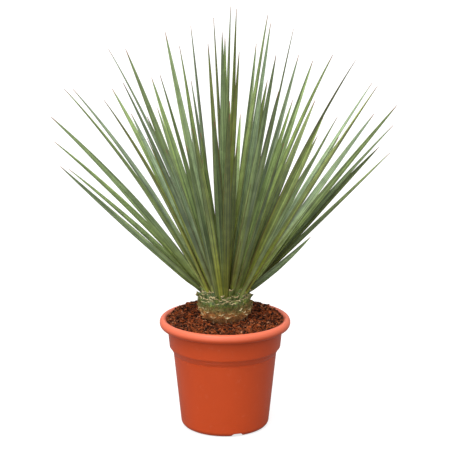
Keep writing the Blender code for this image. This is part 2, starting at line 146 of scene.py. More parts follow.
# The stem's form
STEM_SIDES = 120
STEM_RADIUS = 30 * MM
STEM_PROFILE = (
    (46.0 * MM, 229 * MM), (45.0 * MM, 218 * MM), (39.5 * MM, 208 * MM), (STEM_RADIUS, 199 * MM),
)
STEM_TOP = 232 * MM
STEM_TOP_RADIUS = 45 * MM
SCALES = 36
SCALE_BAND = (204 * MM, 221 * MM)
SCALE_LENGTH = (7.2 * MM, 12 * MM)
SCALE_FOOT_WIDTH = 18.7 * MM
SCALE_WIDTH = (12 * MM, 17 * MM)
SCALE_REACH = (0.6 * MM, 3.3 * MM)
SCALE_DEPTH = 3.5 * MM
SCALE_MARGIN = 1.5 * MM
SCALE_THICKNESS = 0.8 * MM
SCALE_TEAR = 1.7 * MM
SCALE_TWIST = math.radians(15)
SCALE_SPINE = 1.0 * MM
HUSK_BAND = (200 * MM, 232 * MM, 228 * MM)
HUSK_RISE = (4 * MM, 11 * MM)
HUSK_REACH = (1.4 * MM, 5.5 * MM)
HUSK_WIDTH = (3 * MM, 10 * MM)
HUSK_DEPTH = 1.2 * MM
HUSK_THICKNESS = 0.45 * MM
HUSK_TEAR = 1.5 * MM
HUSK_TWIST = math.radians(28)
HUSK_SCATTER = 0.1
SHORT_FOLD = 0.40
ROOT_LENGTH = (7 * MM, 18 * MM)
ROOT_THICKNESS = (0.25 * MM, 0.55 * MM)
ROOT_START = (202 * MM, 215 * MM)
ROOT_SWAY = 0.25
ROOT_STEPS = 6
ROOT_LEAST_SPREAD = 40 * MM
ROOT_LIFT = 0.6 * MM
ROOT_FLARE = 5 * MM
BUMP_SIZE = 4 * MM
STEM_BUMPS = 1.0 * MM
STEM_STEP = 2.5 * MM

# The leaf head's form
DOME_SIDES = 96
DOME_PROFILE = ((0, 290 * MM), (22 * MM, 273 * MM), (38 * MM, 250 * MM), (44.5 * MM, 238 * MM))
DOME_STEP = 3 * MM
DOME_BUMPS = 0.8 * MM
HEAD_GAP = 0.4 * MM
STUBS = 24
STUB_FOOT_RADIUS = 31 * MM
STUB_BAND = (237 * MM, 248 * MM)
STUB_LEAN = (math.radians(30), math.radians(66))
STUB_LEAN_SCATTER = math.radians(5)
STUB_LENGTH = (15 * MM, 26 * MM)
STUB_FOOT_WIDTH = 17.6 * MM
STUB_WIDTH = (12 * MM, 16 * MM)
STUB_TWIST = math.radians(12)
STUB_SPINE = 1.5 * MM
STUB_TEAR = 2.0 * MM
CLASP_BAND = (232.8 * MM, 249 * MM)
CLASP_LENGTH = (3 * MM, 15 * MM)
CLASP_LEAN = (math.radians(8), math.radians(42))
CLASP_WIDTH = (7 * MM, 15 * MM)
CLASP_TURN = 0.4
CLASP_DEPTH = 1.8 * MM
CLASP_SPREAD = 1.1
CLASP_TWIST = 0.4
CLASP_SPINE = 0.6 * MM
CLASP_TEAR = 1.4 * MM

# Leaves
LEAF_LENGTH = 510 * MM
LEAST_DEPTH_SHARE = 0.2
LEAF_WIDTH = (12.0 * MM, 15.5 * MM)
TAPER_SHARE = 0.50
TAPER_POWER = 0.65
LEAF_ROLL = math.radians(45)
SIDE_ROLL = math.radians(38)
SIDE_ROLL_SCATTER = math.radians(22)
LEAF_TWIST = math.radians(25)
ROLL_SHARE = 0.15
ROOT_NARROWING = 0.25
ROOT_SHARE = 0.06
FOLD = 0.58
GROOVE_ROUNDING = 0.16
MARGIN = 0.55 * MM
KEEL_SHARE = 0.15
TIP_WIDTH = 0.8 * MM
ROOT_RADIUS = 41 * MM
ROOT_RISE = 34 * MM
ROOT_POLAR = math.radians(68)
FRONT_ROOT_POLAR = math.radians(80)
ROOT_FULL_LEAN = math.radians(36)
ROOT_LOWEST = 1.1
ROOT_SCATTER = math.radians(9)
ROOT_DEPTH = 12 * MM
ROOT_LEAST_HEIGHT = 237 * MM
CROWN = Vector((0, 0, 238 * MM))
CROWN_SEEN = 240 * MM
PLAN_RADIUS = 312 * MM
FRONT_LEAN = math.radians(37)
EYE = Vector((0, -2575 * MM, 967 * MM))
UPRIGHT_BOW = -0.005
SIDE_BOW = 0.045
LEFT_BOW = 0.021
BOW_SCATTER = 0.01

# Where each leaf of the fan ends as seen from EYE, in millimetres: across from the axis, and height
FAN_TIPS = (
    (-295, 485), (-280, 480), (-305, 530), (-310, 575), (-285, 625), (-270, 625), (-215, 605),
    (-200, 625), (-205, 695), (-175, 695), (-180, 635), (-130, 645), (-115, 650), (-105, 725),
    (-80, 700), (-75, 675), (-60, 735), (-60, 640), (-30, 705), (-20, 750), (-5, 725), (0, 715),
    (10, 770), (20, 765), (25, 690), (55, 705), (75, 755), (80, 740), (90, 685), (75, 640),
    (120, 730), (130, 685), (95, 620), (155, 675), (190, 685), (160, 605), (230, 675), (165, 540),
    (200, 575), (260, 635), (270, 630), (225, 560), (265, 580), (305, 595), (300, 560), (275, 520),
    (295, 510),
)
# The bows of the leaves that arch more or less than the rule has it, by their number in the fan
OWN_BOWS = {
    0: -0.015, 1: 0.025, 4: 0.060, 5: 0.065, 6: 0.060, 8: 0.055, 34: 0.050, 36: 0.050, 46: -0.015,
}

# The leaves that hang furthest forward, and a short one low on the right, in the same way
FORWARD_TIPS = ((8, 580), (-58, 554))
SHORT_TIP = (155, 355)
FORWARD_DEPTH = 285 * MM
FORWARD_BOW = 0.06
SHORT_DEPTH = 20 * MM
SHORT_BOW = -0.05

# The leaves that fill the head behind and before those of the fan. They end among them, as seen from EYE
INNER_LEAVES = 32
INNER_LEAST_LEAN = math.radians(8)
INNER_BACK = (math.radians(48), math.radians(62), 395 * MM)
INNER_FRONT = (math.radians(34), math.radians(50), 310 * MM)
INNER_REACH_SHARE = 0.8
INNER_LONGEST = 440 * MM

# Heights between which the materials change
# The rim's painted highlight: the top of the rim is painted paler between these heights
RIM_HIGHLIGHT_HEIGHTS = (0.1905, 0.1985)
RIM_DUST = (0.188, 0.2035)
FOOT_DUST = (0.022, 0.002)
HUSK_GREENS = (0.213, 0.234)

# Sizes of grain and bumps in the materials
PLASTIC_GRAIN = 0.04 * MM
SOIL_CRUMB = 2.6 * MM
SOIL_SPECK = 1.1 * MM
SOIL_RELIEF = 0.6 * MM
LEAF_RELIEF = 0.18 * MM
CUT_RELIEF = 0.3 * MM
HUSK_RELIEF = 0.5 * MM
ROOT_RELIEF = 0.1 * MM

# Colours of small marks, and LEAF_SHADOW, the dark colour painted as shade where the leaf bases overlap
RUB_MARK = (0.80, 0.30, 0.18)
LEAF_SHADOW = (0.05, 0.06, 0.012)
LEAF_RUST = (0.28, 0.12, 0.035)
CUT_FIBRE = (0.50, 0.40, 0.20)
CUT_BROWN = (0.26, 0.15, 0.06)
HUSK_STAIN = (0.19, 0.075, 0.025)
ROOT_PALE = (0.62, 0.42, 0.27)
ROOT_BROWN = (0.33, 0.17, 0.08)
ROOT_STAIN = (0.20, 0.10, 0.05)

# The camera stands at EYE, tilted down, with a long lens
CAMERA_TILT = math.radians(12.9)
SENSOR_WIDTH = 36.0
FLOOR_RADIUS = 40.0


def colour_setting(name, description, default):
    """A colour that can be changed in the panel."""
    return FloatVectorProperty(name=name, description=description, default=default, size=3, min=0, max=1,
                               subtype="COLOR")


class PotSettings(bpy.types.PropertyGroup):
    """What can be changed about the pot."""

    rim_radius: FloatProperty(name="Rim radius", description="From the pot's axis to the outside of its rim",
                              default=pot_high[0], unit="LENGTH")
    height: FloatProperty(name="Height", description="From the ground to the top of the rim",
                          default=204.5 * MM, unit="LENGTH")
    wall: FloatProperty(name="Wall", description="Thickness of the plastic", default=2.2 * MM, unit="LENGTH")
    colour: colour_setting("Plastic", "Colour of the plastic", (0.61, 0.070, 0.011))
    # The rim's painted highlight: the paler colour painted on the top of the rim, where light from above
    # falls
    rim_highlight: colour_setting("Rim highlight", "Colour painted on the top of the rim as a highlight",
                          (0.98, 0.23, 0.125))
    dust: colour_setting("Dust", "Colour of the soil dust on the plastic", (0.42, 0.16, 0.085))


class SoilSettings(bpy.types.PropertyGroup):
    """What can be changed about the potting mix."""

    chips: IntProperty(name="Chips", description="How many bark chips lie on the soil", default=2300, min=0)
    fibres: IntProperty(name="Fibres", description="How many loose fibres lie on the soil",
                        default=560, min=0)
    dark: colour_setting("Damp peat", "Colour of the fine damp part", (0.016, 0.0045, 0.002))
    brown: colour_setting("Bark", "Colour of the bark crumbs", (0.330, 0.070, 0.016))
    pale: colour_setting("Fibre", "Colour of the palest fibres", (0.50, 0.24, 0.13))


class StemSettings(bpy.types.PropertyGroup):
    """What can be changed about the stem."""

    husks: IntProperty(name="Torn husks", description="How many thin dry husks stand between the scales",
                       default=340, min=0)
    roots: IntProperty(name="Root fibres", description="How many pale fibres hang at the stem's foot",
                       default=46, min=0)
    low: colour_setting("Dry husk", "Colour of the dry scales at the foot", (0.92, 0.43, 0.14))
    high: colour_setting("Green husk", "Colour of the scales under the leaves", (0.25, 0.27, 0.075))
    cut: colour_setting("Cut end", "Colour of the pale cut ends", (0.78, 0.68, 0.42))


class LeafSettings(bpy.types.PropertyGroup):
    """What can be changed about the leaves."""

    sections: IntProperty(name="Sections", description="How many sections each leaf is lofted through",
                          default=30, min=6)
    clasps: IntProperty(name="Clasping stubs", description="How many short cut leaves ring the crown's foot",
                        default=130, min=0)
    blue: colour_setting("Blue-green", "Colour of the waxy leaves", (0.290, 0.385, 0.235))
    green: colour_setting("Green", "Colour of the fresher leaves", (0.220, 0.310, 0.090))
    olive: colour_setting("Olive", "Colour of the older leaves and of the leaf bases", (0.255, 0.290, 0.042))
    tip: colour_setting("Tip", "Colour of the dry points", (0.34, 0.16, 0.08))
    margin: colour_setting("Margin", "Colour of the thin dry leaf edge", (0.16, 0.10, 0.03))


class StageSettings(bpy.types.PropertyGroup):
    """What can be changed about the floor, the light and the camera."""

    floor: colour_setting("Floor", "Colour of the studio floor", (0.34, 0.34, 0.34))
    bounce: FloatProperty(name="Floor bounce", description="How much light the floor sends back to the plant",
                          default=0.22, min=0, max=1)
    glow: FloatProperty(name="Floor glow", description="Light that the floor itself shows to the camera",
                        default=0.74, min=0)
    sky: FloatProperty(name="Room light", description="Strength of the light from above", default=1.25)
    side: FloatProperty(name="Side light", description="Strength of the light from the horizon", default=0.30)
    key: FloatProperty(name="Main light", description="Strength of the large soft main light", default=1.6)
    fill: FloatProperty(name="Front light", description="Strength of the weaker light from the front",
                        default=0.85)
    fill_height: FloatProperty(name="Front light height", description="How high the front light stands",
                               default=math.radians(18), subtype="ANGLE")
    height: FloatProperty(name="Light height", description="How high the main light stands",
                          default=math.radians(64), subtype="ANGLE")
    turn: FloatProperty(name="Light turn", description="How far left of the camera the main light stands",
                        default=math.radians(25), subtype="ANGLE")
    softness: FloatProperty(name="Light softness", description="How wide the main light looks from the plant",
                            default=math.radians(40), subtype="ANGLE")
    lens: FloatProperty(name="Lens", description="Focal length of the camera", default=116.9, unit="CAMERA")


# Meshes


class Skin:
    """Gathers the points and faces of one piece, with the marks that its material reads at each point."""

    def __init__(self):
        self.points = []
        self.faces = []
        self.slots = []
        self.places = []
        self.looks = []

    def ring(self, points, places, look):
        """Adds points and their marks, and gives their numbers."""
        start = len(self.points)
        self.points.extend(points)
        self.places.extend(places)
        self.looks.extend([look] * len(points))
        return list(range(start, len(self.points)))

    def bridge(self, near, far, slot=0):
        """Joins two closed rings of as many points."""
        count = len(near)
        for index in range(count):
            after = (index + 1) % count
            self.faces.append((near[index], near[after], far[after], far[index]))
            self.slots.append(slot)

    def close_blade(self, ring, slot=0):
        """Closes a blade's end, whose ring runs over its top and back along its underside."""
        half = len(ring) // 2
        top = ring[:half]
        under = ring[:half - 1:-1]
        for index in range(half - 1):
            self.faces.append((top[index], top[index + 1], under[index + 1], under[index]))
            self.slots.append(slot)

    def close_fan(self, ring, tip, look, slot=0):
        """Closes a ring with a fan of triangles to one point."""
        middle = self.ring([tip], [(0, 0, 0)], look)[0]
        count = len(ring)
        for index in range(count):
            self.faces.append((ring[index], ring[(index + 1) % count], middle))
            self.slots.append(slot)

    def make(self, name, materials, sharp_angle):
        """Turns what was gathered into one piece."""
        mesh = bpy.data.meshes.new(name)
        mesh.from_pydata(self.points, [], self.faces)
        mesh.polygons.foreach_set("material_index", self.slots)
        for title, values in (("place", self.places), ("look", self.looks)):
            layer = mesh.attributes.new(title, "FLOAT_VECTOR", "POINT")
            layer.data.foreach_set("vector", [number for value in values for number in value])
        shape = bmesh.new()
        shape.from_mesh(mesh)
        bmesh.ops.recalc_face_normals(shape, faces=shape.faces)
        shape.to_mesh(mesh)
        shape.free()
        for material in materials:
            mesh.materials.append(material)
        mesh.shade_smooth()
        mesh.set_sharp_from_angle(angle=math.radians(sharp_angle))
        piece = bpy.data.objects.new(name, mesh)
        bpy.context.scene.collection.objects.link(piece)
        return piece


def settle(piece, node):
    """Lets a piece take the place of a node of the frame."""
    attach(piece, "root")
    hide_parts(node)


def apply_modifiers(piece):
    """Turns what a piece's modifiers make into its own mesh."""
    graph = bpy.context.evaluated_depsgraph_get()
    shape = bpy.data.meshes.new_from_object(piece.evaluated_get(graph))
    old = piece.data
    piece.modifiers.clear()
    piece.data = shape
    bpy.data.meshes.remove(old)


def arc(centre, radii, start, end, steps):
    """Points on an elliptical arc in the (radius, height) plane, between two angles in degrees."""
    points = []
    for step in range(steps + 1):
        angle = math.radians(start + (end - start) * step / steps)
        points.append((centre[0] + radii[0] * math.cos(angle), centre[1] + radii[1] * math.sin(angle)))
    return points


def round_corner(before, corner, after, size, steps=4):
    """Points that round one corner of a profile, on a curve that leaves it a given size away."""
    corner = Vector(corner)
    start = corner + (Vector(before) - corner).normalized() * size
    end = corner + (Vector(after) - corner).normalized() * size
    points = []
    for step in range(steps + 1):
        share = step / steps
        points.append(tuple(start.lerp(corner, share).lerp(corner.lerp(end, share), share)))
    return points


def finer(profile, step):
    """The same profile with points no further apart than a step."""
    points = [profile[0]]
    for start, end in zip(profile, profile[1:]):
        start, end = Vector(start), Vector(end)
        pieces = max(1, math.ceil((end - start).length / step))
        points += [tuple(start.lerp(end, piece / pieces)) for piece in range(1, pieces + 1)]
    return points


# Pot


def inner_wall(wall):
    """The pot's inner face, from its rolled rim down to its floor."""
    floor = FLOOR_UNDERSIDE + wall
    return [
        LIP_INSIDE,
        (COLLAR_TOP[0] - wall, COLLAR_TOP[1]),
        (COLLAR_BOTTOM[0] - wall, COLLAR_BOTTOM[1] + STEP_ROUNDING),
        (BODY_TOP[0] - wall, BODY_TOP[1] + STEP_ROUNDING),
        (BASE_RADIUS - wall, floor + FLOOR_ROUNDING),
        (BASE_RADIUS - wall - FLOOR_ROUNDING, floor),
    ]


def mould_line():
    """The low ridge near the base where two parts of the mould met."""
    middle, ridge, half = MOULD_LINE
    points = []
    for rise, out in ((3, 0), (1, 0), (0, ridge), (-1, 0), (-3, 0)):
        height = middle + rise * half
        share = (height - BASE_CORNER) / (BODY_TOP[1] - BASE_CORNER)
        points.append((BASE_RADIUS + (BODY_TOP[0] - BASE_RADIUS) * share + out, height))
    return points


def thin_groove(start, end, share):
    """A narrow groove across a straight run of the profile, at a share of that run."""
    start, end = Vector(start), Vector(end)
    run = (end - start).normalized()
    into = Vector((run.y, -run.x))
    middle = start.lerp(end, share)
    width, depth = GROOVE
    return [tuple(middle + run * (width * place) + into * (depth * cut))
            for place, cut in ((-0.5, 0), (-0.3, 0), (-0.1, 1), (0.1, 1), (0.3, 0), (0.5, 0))]


def pot_profile(settings):
    """From the middle of the floor, up the inside, over the rim, down the outside and in under the floor."""
    wall = settings.wall
    centre = (settings.rim_radius - ROLL_WIDTH / 2, settings.height - ROLL_HEIGHT / 2)
    outer = (ROLL_WIDTH / 2, ROLL_HEIGHT / 2)
    inner = (outer[0] - wall, outer[1] - wall)
    base = (BASE_RADIUS - BASE_CORNER, BASE_CORNER)
    skirt = BASE_CORNER - wall
    meet = math.degrees(math.asin((BASE_CORNER - FLOOR_UNDERSIDE) / skirt))
    inside = inner_wall(wall)
    profile = [(0, FLOOR_UNDERSIDE + wall)]
    profile += reversed(inside)
    profile += arc(centre, outer, *ROLL_ARC, ROLL_STEPS)
    profile += arc(centre, inner, *ROLL_INNER_ARC, ROLL_INNER_STEPS)
    profile += [COLLAR_FLARE]
    profile += round_corner(COLLAR_FLARE, COLLAR_TOP, COLLAR_BOTTOM, STEP_ROUNDING)
    ledge = (COLLAR_BOTTOM[0] - STEP_ROUNDING, COLLAR_BOTTOM[1])
    profile += round_corner(COLLAR_TOP, COLLAR_BOTTOM, ledge, STEP_ROUNDING)
    neck = (BODY_TOP[0] + STEP_ROUNDING / 2, BODY_TOP[1] + STEP_ROUNDING)
    profile += thin_groove(ledge, neck, GROOVE_SHARES[0])
    profile += [neck]
    profile += round_corner(neck, BODY_TOP, (BASE_RADIUS, BASE_CORNER), STEP_ROUNDING / 2)
    profile += thin_groove(BODY_TOP, (BASE_RADIUS, BASE_CORNER), GROOVE_SHARES[1])
    profile += mould_line()
    profile += arc(base, (BASE_CORNER, BASE_CORNER), 0, -90, CORNER_STEPS)
    profile += [(base[0] - FOOT_WIDTH, 0), (base[0] - FOOT_WIDTH, wall)]
    profile += arc(base, (skirt, skirt), -90, -meet, CORNER_INNER_STEPS)
    profile += [(0, FLOOR_UNDERSIDE)]
    return finer(profile, PROFILE_STEP)


def notch_cutter(number, collection):
    """A prism, wider below, that cuts one notch through the foot."""
    mesh = bpy.data.meshes.new("notch cutter")
    shape = bmesh.new()
    bmesh.ops.create_cube(shape, size=1)
    foot_inside = BASE_RADIUS - BASE_CORNER - FOOT_WIDTH
    slope = (NOTCH_WIDTH_BELOW - NOTCH_WIDTH_ABOVE) / NOTCH_HEIGHT
    for corner in shape.verts:
        height = NOTCH_HEIGHT if corner.co.z > 0 else -CUTTER_EXCESS
        width = NOTCH_WIDTH_ABOVE + slope * (NOTCH_HEIGHT - height)
        distance = BASE_RADIUS + CUTTER_EXCESS if corner.co.y < 0 else foot_inside - CUTTER_EXCESS
        corner.co = Vector((math.copysign(width / 2, corner.co.x), -distance, height))
    rounded = [edge for edge in shape.edges if all(end.co.z > 0 for end in edge.verts)
               and abs(edge.verts[0].co.x - edge.verts[1].co.x) < CLEARANCE]
    bmesh.ops.bevel(shape, geom=rounded, offset=NOTCH_ROUNDING, segments=4, affect="EDGES", profile=0.5)
    shape.to_mesh(mesh)
    shape.free()
    cutter = bpy.data.objects.new("notch cutter", mesh)
    cutter.rotation_euler.z = NOTCH_TURN + number * math.tau / NOTCHES
    collection.objects.link(cutter)


def drain_cutter(number, wall, collection):
    """A drill for one hole in the floor."""
    mesh = bpy.data.meshes.new("drain cutter")
    shape = bmesh.new()
    bmesh.ops.create_cone(shape, cap_ends=True, segments=DRAIN_SIDES, radius1=DRAIN_RADIUS,
                          radius2=DRAIN_RADIUS, depth=wall + 2 * CUTTER_EXCESS)
    shape.to_mesh(mesh)
    shape.free()
    cutter = bpy.data.objects.new("drain cutter", mesh)
    turn = (number + 0.5) * math.tau / DRAIN_HOLES
    cutter.location = (DRAIN_RING * math.cos(turn), DRAIN_RING * math.sin(turn), FLOOR_UNDERSIDE + wall / 2)
    collection.objects.link(cutter)


def turn_pot(settings):
    """Turns the pot's profile, then cuts the notches and the drain holes."""
    profile = pot_profile(settings)
    mesh = bpy.data.meshes.new("grower_pot")
    edges = [(i, i + 1) for i in range(len(profile) - 1)]
    mesh.from_pydata([(radius, 0, height) for radius, height in profile], edges, [])
    pot = bpy.data.objects.new("grower_pot", mesh)
    bpy.context.scene.collection.objects.link(pot)
    screw = pot.modifiers.new("Screw", "SCREW")
    screw.steps = POT_SIDES
    screw.render_steps = POT_SIDES
    screw.use_merge_vertices = True
    screw.merge_threshold = WELD
    apply_modifiers(pot)
    cutters = bpy.data.collections.new("cutters")
    bpy.context.scene.collection.children.link(cutters)
    for number in range(NOTCHES):
        notch_cutter(number, cutters)
    for number in range(DRAIN_HOLES):
        drain_cutter(number, settings.wall, cutters)
    bpy.context.view_layer.update()
    cut = pot.modifiers.new("Cut", "BOOLEAN")
    cut.operation = "DIFFERENCE"
    cut.operand_type = "COLLECTION"
    cut.collection = cutters
    cut.solver = "EXACT"
    apply_modifiers(pot)
    for cutter in list(cutters.objects):
        bpy.data.objects.remove(cutter, do_unlink=True)
    bpy.data.collections.remove(cutters)
    return pot


# Soil


def soil_lift(x, y):
    """How far the soil's surface stands above its edge at the wall, apart from its crumbs."""
    radius = math.hypot(x, y)
    rise = min(1, max(0, (SOIL_RADIUS - radius) / SOIL_SHOULDER))
    rise = rise * rise * (3 - 2 * rise)
    out = (radius - HOLE_MOUTH_RADIUS) / (SOIL_RADIUS - HOLE_MOUTH_RADIUS)
    swell = SOIL_SWELL * math.sin(math.pi * min(1, max(0, out)))
    grain = SOIL_GRAIN * noise.noise(Vector((x, y, 0)) / SOIL_GRAIN_SIZE)
    return rise * (SOIL_HEIGHT - SOIL_EDGE_HEIGHT + SOIL_SLOPE * y + swell + grain)


def soil_height(x, y):
    """The height of the crumbly surface at a place."""
    height = SOIL_EDGE_HEIGHT + soil_lift(x, y)
    fade = min(1, max(0, (SOIL_RADIUS - math.hypot(x, y)) / CRUMB_FADE))
    for size, depth in SOIL_CRUMBS:
        bump = noise.noise(Vector((x, y, size)) / size)
        height += fade * depth * (1 - 2 * abs(bump) - 0.5)
    return height


def soil_surface(skin, wall):
    """The crumbly top, the plug's side and floor, and the hole for the stem."""
    look = (0.5, 0.5, 0)

    def ring_at(radius, height=None):
        points = []
        for side in range(SOIL_SIDES):
            turn = math.tau * side / SOIL_SIDES
            x, y = radius * math.cos(turn), radius * math.sin(turn)
            points.append((x, y, soil_height(x, y) if height is None else height))
        return skin.ring(points, [(0, 0, 0)] * SOIL_SIDES, look)

    hole = STEM_RADIUS + CLEARANCE
    rings = [ring_at(hole, HOLE_FLOOR - CLEARANCE), ring_at(hole, HOLE_NECK_HEIGHT)]
    for step in range(SOIL_RINGS + 1):
        share = step / SOIL_RINGS
        rings.append(ring_at(HOLE_MOUTH_RADIUS + (SOIL_RADIUS - HOLE_MOUTH_RADIUS) * share))
    for radius, height in inner_wall(wall):
        rings.append(ring_at(radius - CLEARANCE, height + CLEARANCE))
    for near, far in zip(rings, rings[1:]):
        skin.bridge(near, far)
    skin.close_fan(rings[0], (0, 0, HOLE_FLOOR - CLEARANCE), look)
    skin.close_fan(rings[-1], (0, 0, FLOOR_UNDERSIDE + wall + CLEARANCE), look)


def scatter_place(draw, margin):
    """A random place on the soil, between the stem's hole and the pot's wall."""
    least = (HOLE_MOUTH_RADIUS - 2 * MM) ** 2
    most = (SOIL_RADIUS - margin) ** 2
    radius = math.sqrt(draw.uniform(least, most))
    turn = draw.uniform(0, math.tau)
    x, y = radius * math.cos(turn), radius * math.sin(turn)
    return Vector((x, y, soil_height(x, y)))


def soil_chip(skin, draw):
    """One angular flake of bark, lying at a random slant."""
    size = draw.uniform(*CHIP_SIZE) * draw.uniform(0.6, 1)
    reach = Vector((size, size * draw.uniform(0.4, 0.9), size * draw.uniform(0.15, 0.4)))
    tilt = Matrix.Rotation(draw.uniform(0, math.tau), 3, "Z")
    tilt = tilt @ Matrix.Rotation(draw.gauss(0, CHIP_TILT), 3, "X")
    tilt = tilt @ Matrix.Rotation(draw.gauss(0, CHIP_ROLL), 3, "Y")
    middle = scatter_place(draw, size + CHIP_RIM_GAP) + UP * (draw.uniform(0, 0.35) * size)
    look = (draw.random(), draw.random(), 1)
    rings = []
    for level, spread in CHIP_LEVELS:
        points = []
        for side in range(CHIP_SIDES):
            turn = math.tau * (side + draw.uniform(-0.25, 0.25)) / CHIP_SIDES
            corner = Vector((math.cos(turn) * spread, math.sin(turn) * spread, level))
            corner = Vector(a * b for a, b in zip(corner * draw.uniform(0.8, 1.1), reach))
            points.append(middle + tilt @ corner)
        rings.append(skin.ring(points, [(0, 0, 0)] * CHIP_SIDES, look))
    skin.bridge(rings[0], rings[1])
    skin.bridge(rings[1], rings[2])
    skin.close_fan(rings[0], middle - tilt @ Vector((0, 0, reach.z * 0.8)), look)
    skin.close_fan(rings[2], middle + tilt @ Vector((0, 0, reach.z * 0.9)), look)


def thread(skin, path, radius, look, slot=0):
    """A thin fibre with four sides that tapers to both of its ends."""
    rings = []
    last = len(path) - 1
    quarter = math.pi / 2
    for index, point in enumerate(path):
        along = (path[min(index + 1, last)] - path[max(index - 1, 0)]).normalized()
        across = along.orthogonal().normalized()
        beside = along.cross(across)
        thickness = radius * (0.35 + 0.65 * math.sin(math.pi * (index + 0.3) / (last + 0.6)))
        points = [point + (across * math.cos(turn) + beside * math.sin(turn)) * thickness
                  for turn in (0, quarter, 2 * quarter, 3 * quarter)]
        rings.append(skin.ring(points, [(0, index / last, 1)] * 4, look))
    for near, far in zip(rings, rings[1:]):
        skin.bridge(near, far, slot)
    skin.close_fan(rings[0], path[0], look, slot)
    skin.close_fan(rings[-1], path[-1], look, slot)


def soil_fibre(skin, draw):
    """One loose fibre that lies over the crumbs."""
    place = scatter_place(draw, 8 * MM)
    turn = draw.uniform(0, math.tau)
    bend = draw.uniform(-0.5, 0.5)
    step = draw.uniform(*SOIL_FIBRE_LENGTH) / SOIL_FIBRE_STEPS
    lift = draw.uniform(*SOIL_FIBRE_LIFT)
    path = []
    for _ in range(SOIL_FIBRE_STEPS + 1):
        if math.hypot(place.x, place.y) < SOIL_RADIUS - 2 * MM:
            path.append(Vector((place.x, place.y, soil_height(place.x, place.y) + lift)))
        place = place + Vector((math.cos(turn), math.sin(turn), 0)) * step
        turn += bend
    if len(path) > 2:
        thread(skin, path, draw.uniform(*SOIL_FIBRE_RADIUS), (draw.uniform(0.6, 1), draw.random(), 1))


# Blades: leaves, stubs and scales


def blade_section(width, margin, spine, fold, steps):
    """Points round a channelled section, over the top from left to right and back under the keel."""
    half = width / 2
    keel = max(margin, KEEL_SHARE * width) + spine
    flat = math.sqrt(1 + GROOVE_ROUNDING ** 2) - GROOVE_ROUNDING
    top = []
    under = []
    for step in range(steps + 1):
        side = 2 * step / steps - 1
        lift = half * fold * (math.sqrt(side ** 2 + GROOVE_ROUNDING ** 2) - GROOVE_ROUNDING) / flat
        thickness = margin + (keel - margin) * (1 - abs(side)) ** 1.1
        top.append((side, side * half, lift, 1))
        under.append((side, side * half, lift - thickness, 0))
    return top + under[::-1]


def loft_blade(skin, path, widths, rolls, outward, look, shape, slots=(0, 0), ragged=None):
    """A channelled blade along a path, whose keel faces away from the axis."""
    level = UP.cross(outward)
    rings = []
    last = len(path) - 1
    for index, point in enumerate(path):
        along = (path[min(index + 1, last)] - path[max(index - 1, 0)]).normalized()
        inward = along.cross(level)
        turn = rolls[index]
        across = level * math.cos(turn) + inward * math.sin(turn)
        facing = inward * math.cos(turn) - level * math.sin(turn)
        points = []
        places = []
        for side, shift, lift, upper in blade_section(widths[index], *shape):
            slip = ragged(side) if ragged and index == last else 0
            points.append(point + across * shift + facing * lift + along * slip)
            places.append((side, index / last, upper))
        rings.append(skin.ring(points, places, look))
    for near, far in zip(rings, rings[1:]):
        skin.bridge(near, far, slots[0])
    skin.close_blade(rings[0], slots[0])
    skin.close_blade(rings[-1], slots[1])


def leaf_width(share, width):
    """Full for half of the leaf, then a long taper to the point, and narrower at the hidden root."""
    taper = min(1, (1 - share) / TAPER_SHARE) ** TAPER_POWER
    root = 1 - ROOT_NARROWING * math.exp(-share / ROOT_SHARE)
    return max(TIP_WIDTH, width * taper * root)


def along_sight(across, height, depth):
    """The point at a depth behind the picture plane that is seen from EYE at this place in it."""
    seen = Vector((across, 0, height))
    return seen + (seen - EYE) * (depth / -EYE.y)


def lean_of(tip):
    """How far a leaf with this tip leans from upright."""
    return (tip - CROWN).angle(UP)


def leaf_root(tip, scatter):
    """Where a leaf with this tip starts inside the crown, and which way it leans out."""
    way = tip - CROWN
    outward = Vector((way.x, way.y, 0)).normalized()
    lean = lean_of(tip)
    lowest = ROOT_POLAR + (FRONT_ROOT_POLAR - ROOT_POLAR) * max(0, -outward.y)
    polar = lowest * min(ROOT_LOWEST, lean / ROOT_FULL_LEAN) + scatter
    surface = CROWN + outward * (ROOT_RADIUS * math.sin(polar)) + UP * (ROOT_RISE * math.cos(polar))
    root = surface - (outward * math.sin(lean) + UP * math.cos(lean)) * ROOT_DEPTH
    root.z = max(root.z, ROOT_LEAST_HEIGHT)
    return root, outward


def leaf_plan(tip, draw):
    """One leaf's measurements: its ends, bow, width and how it is rolled and twisted."""
    root, outward = leaf_root(tip, draw.uniform(-ROOT_SCATTER, ROOT_SCATTER))
    sideways = abs(outward.x)
    chance = draw.uniform(-1, 1)
    side_roll = math.copysign(SIDE_ROLL + SIDE_ROLL_SCATTER * chance, outward.x)
    roll = LEAF_ROLL * chance * (1 - sideways) + side_roll * sideways
    arching = SIDE_BOW * sideways - LEFT_BOW * outward.x
    return {
        "root": root,
        "tip": tip,
        "outward": outward,
        "bow": UPRIGHT_BOW + lean_of(tip) * arching + draw.uniform(-BOW_SCATTER, BOW_SCATTER),
        "width": draw.uniform(*LEAF_WIDTH),
        "roll": roll,
        "twist": draw.uniform(-LEAF_TWIST, LEAF_TWIST),
    }


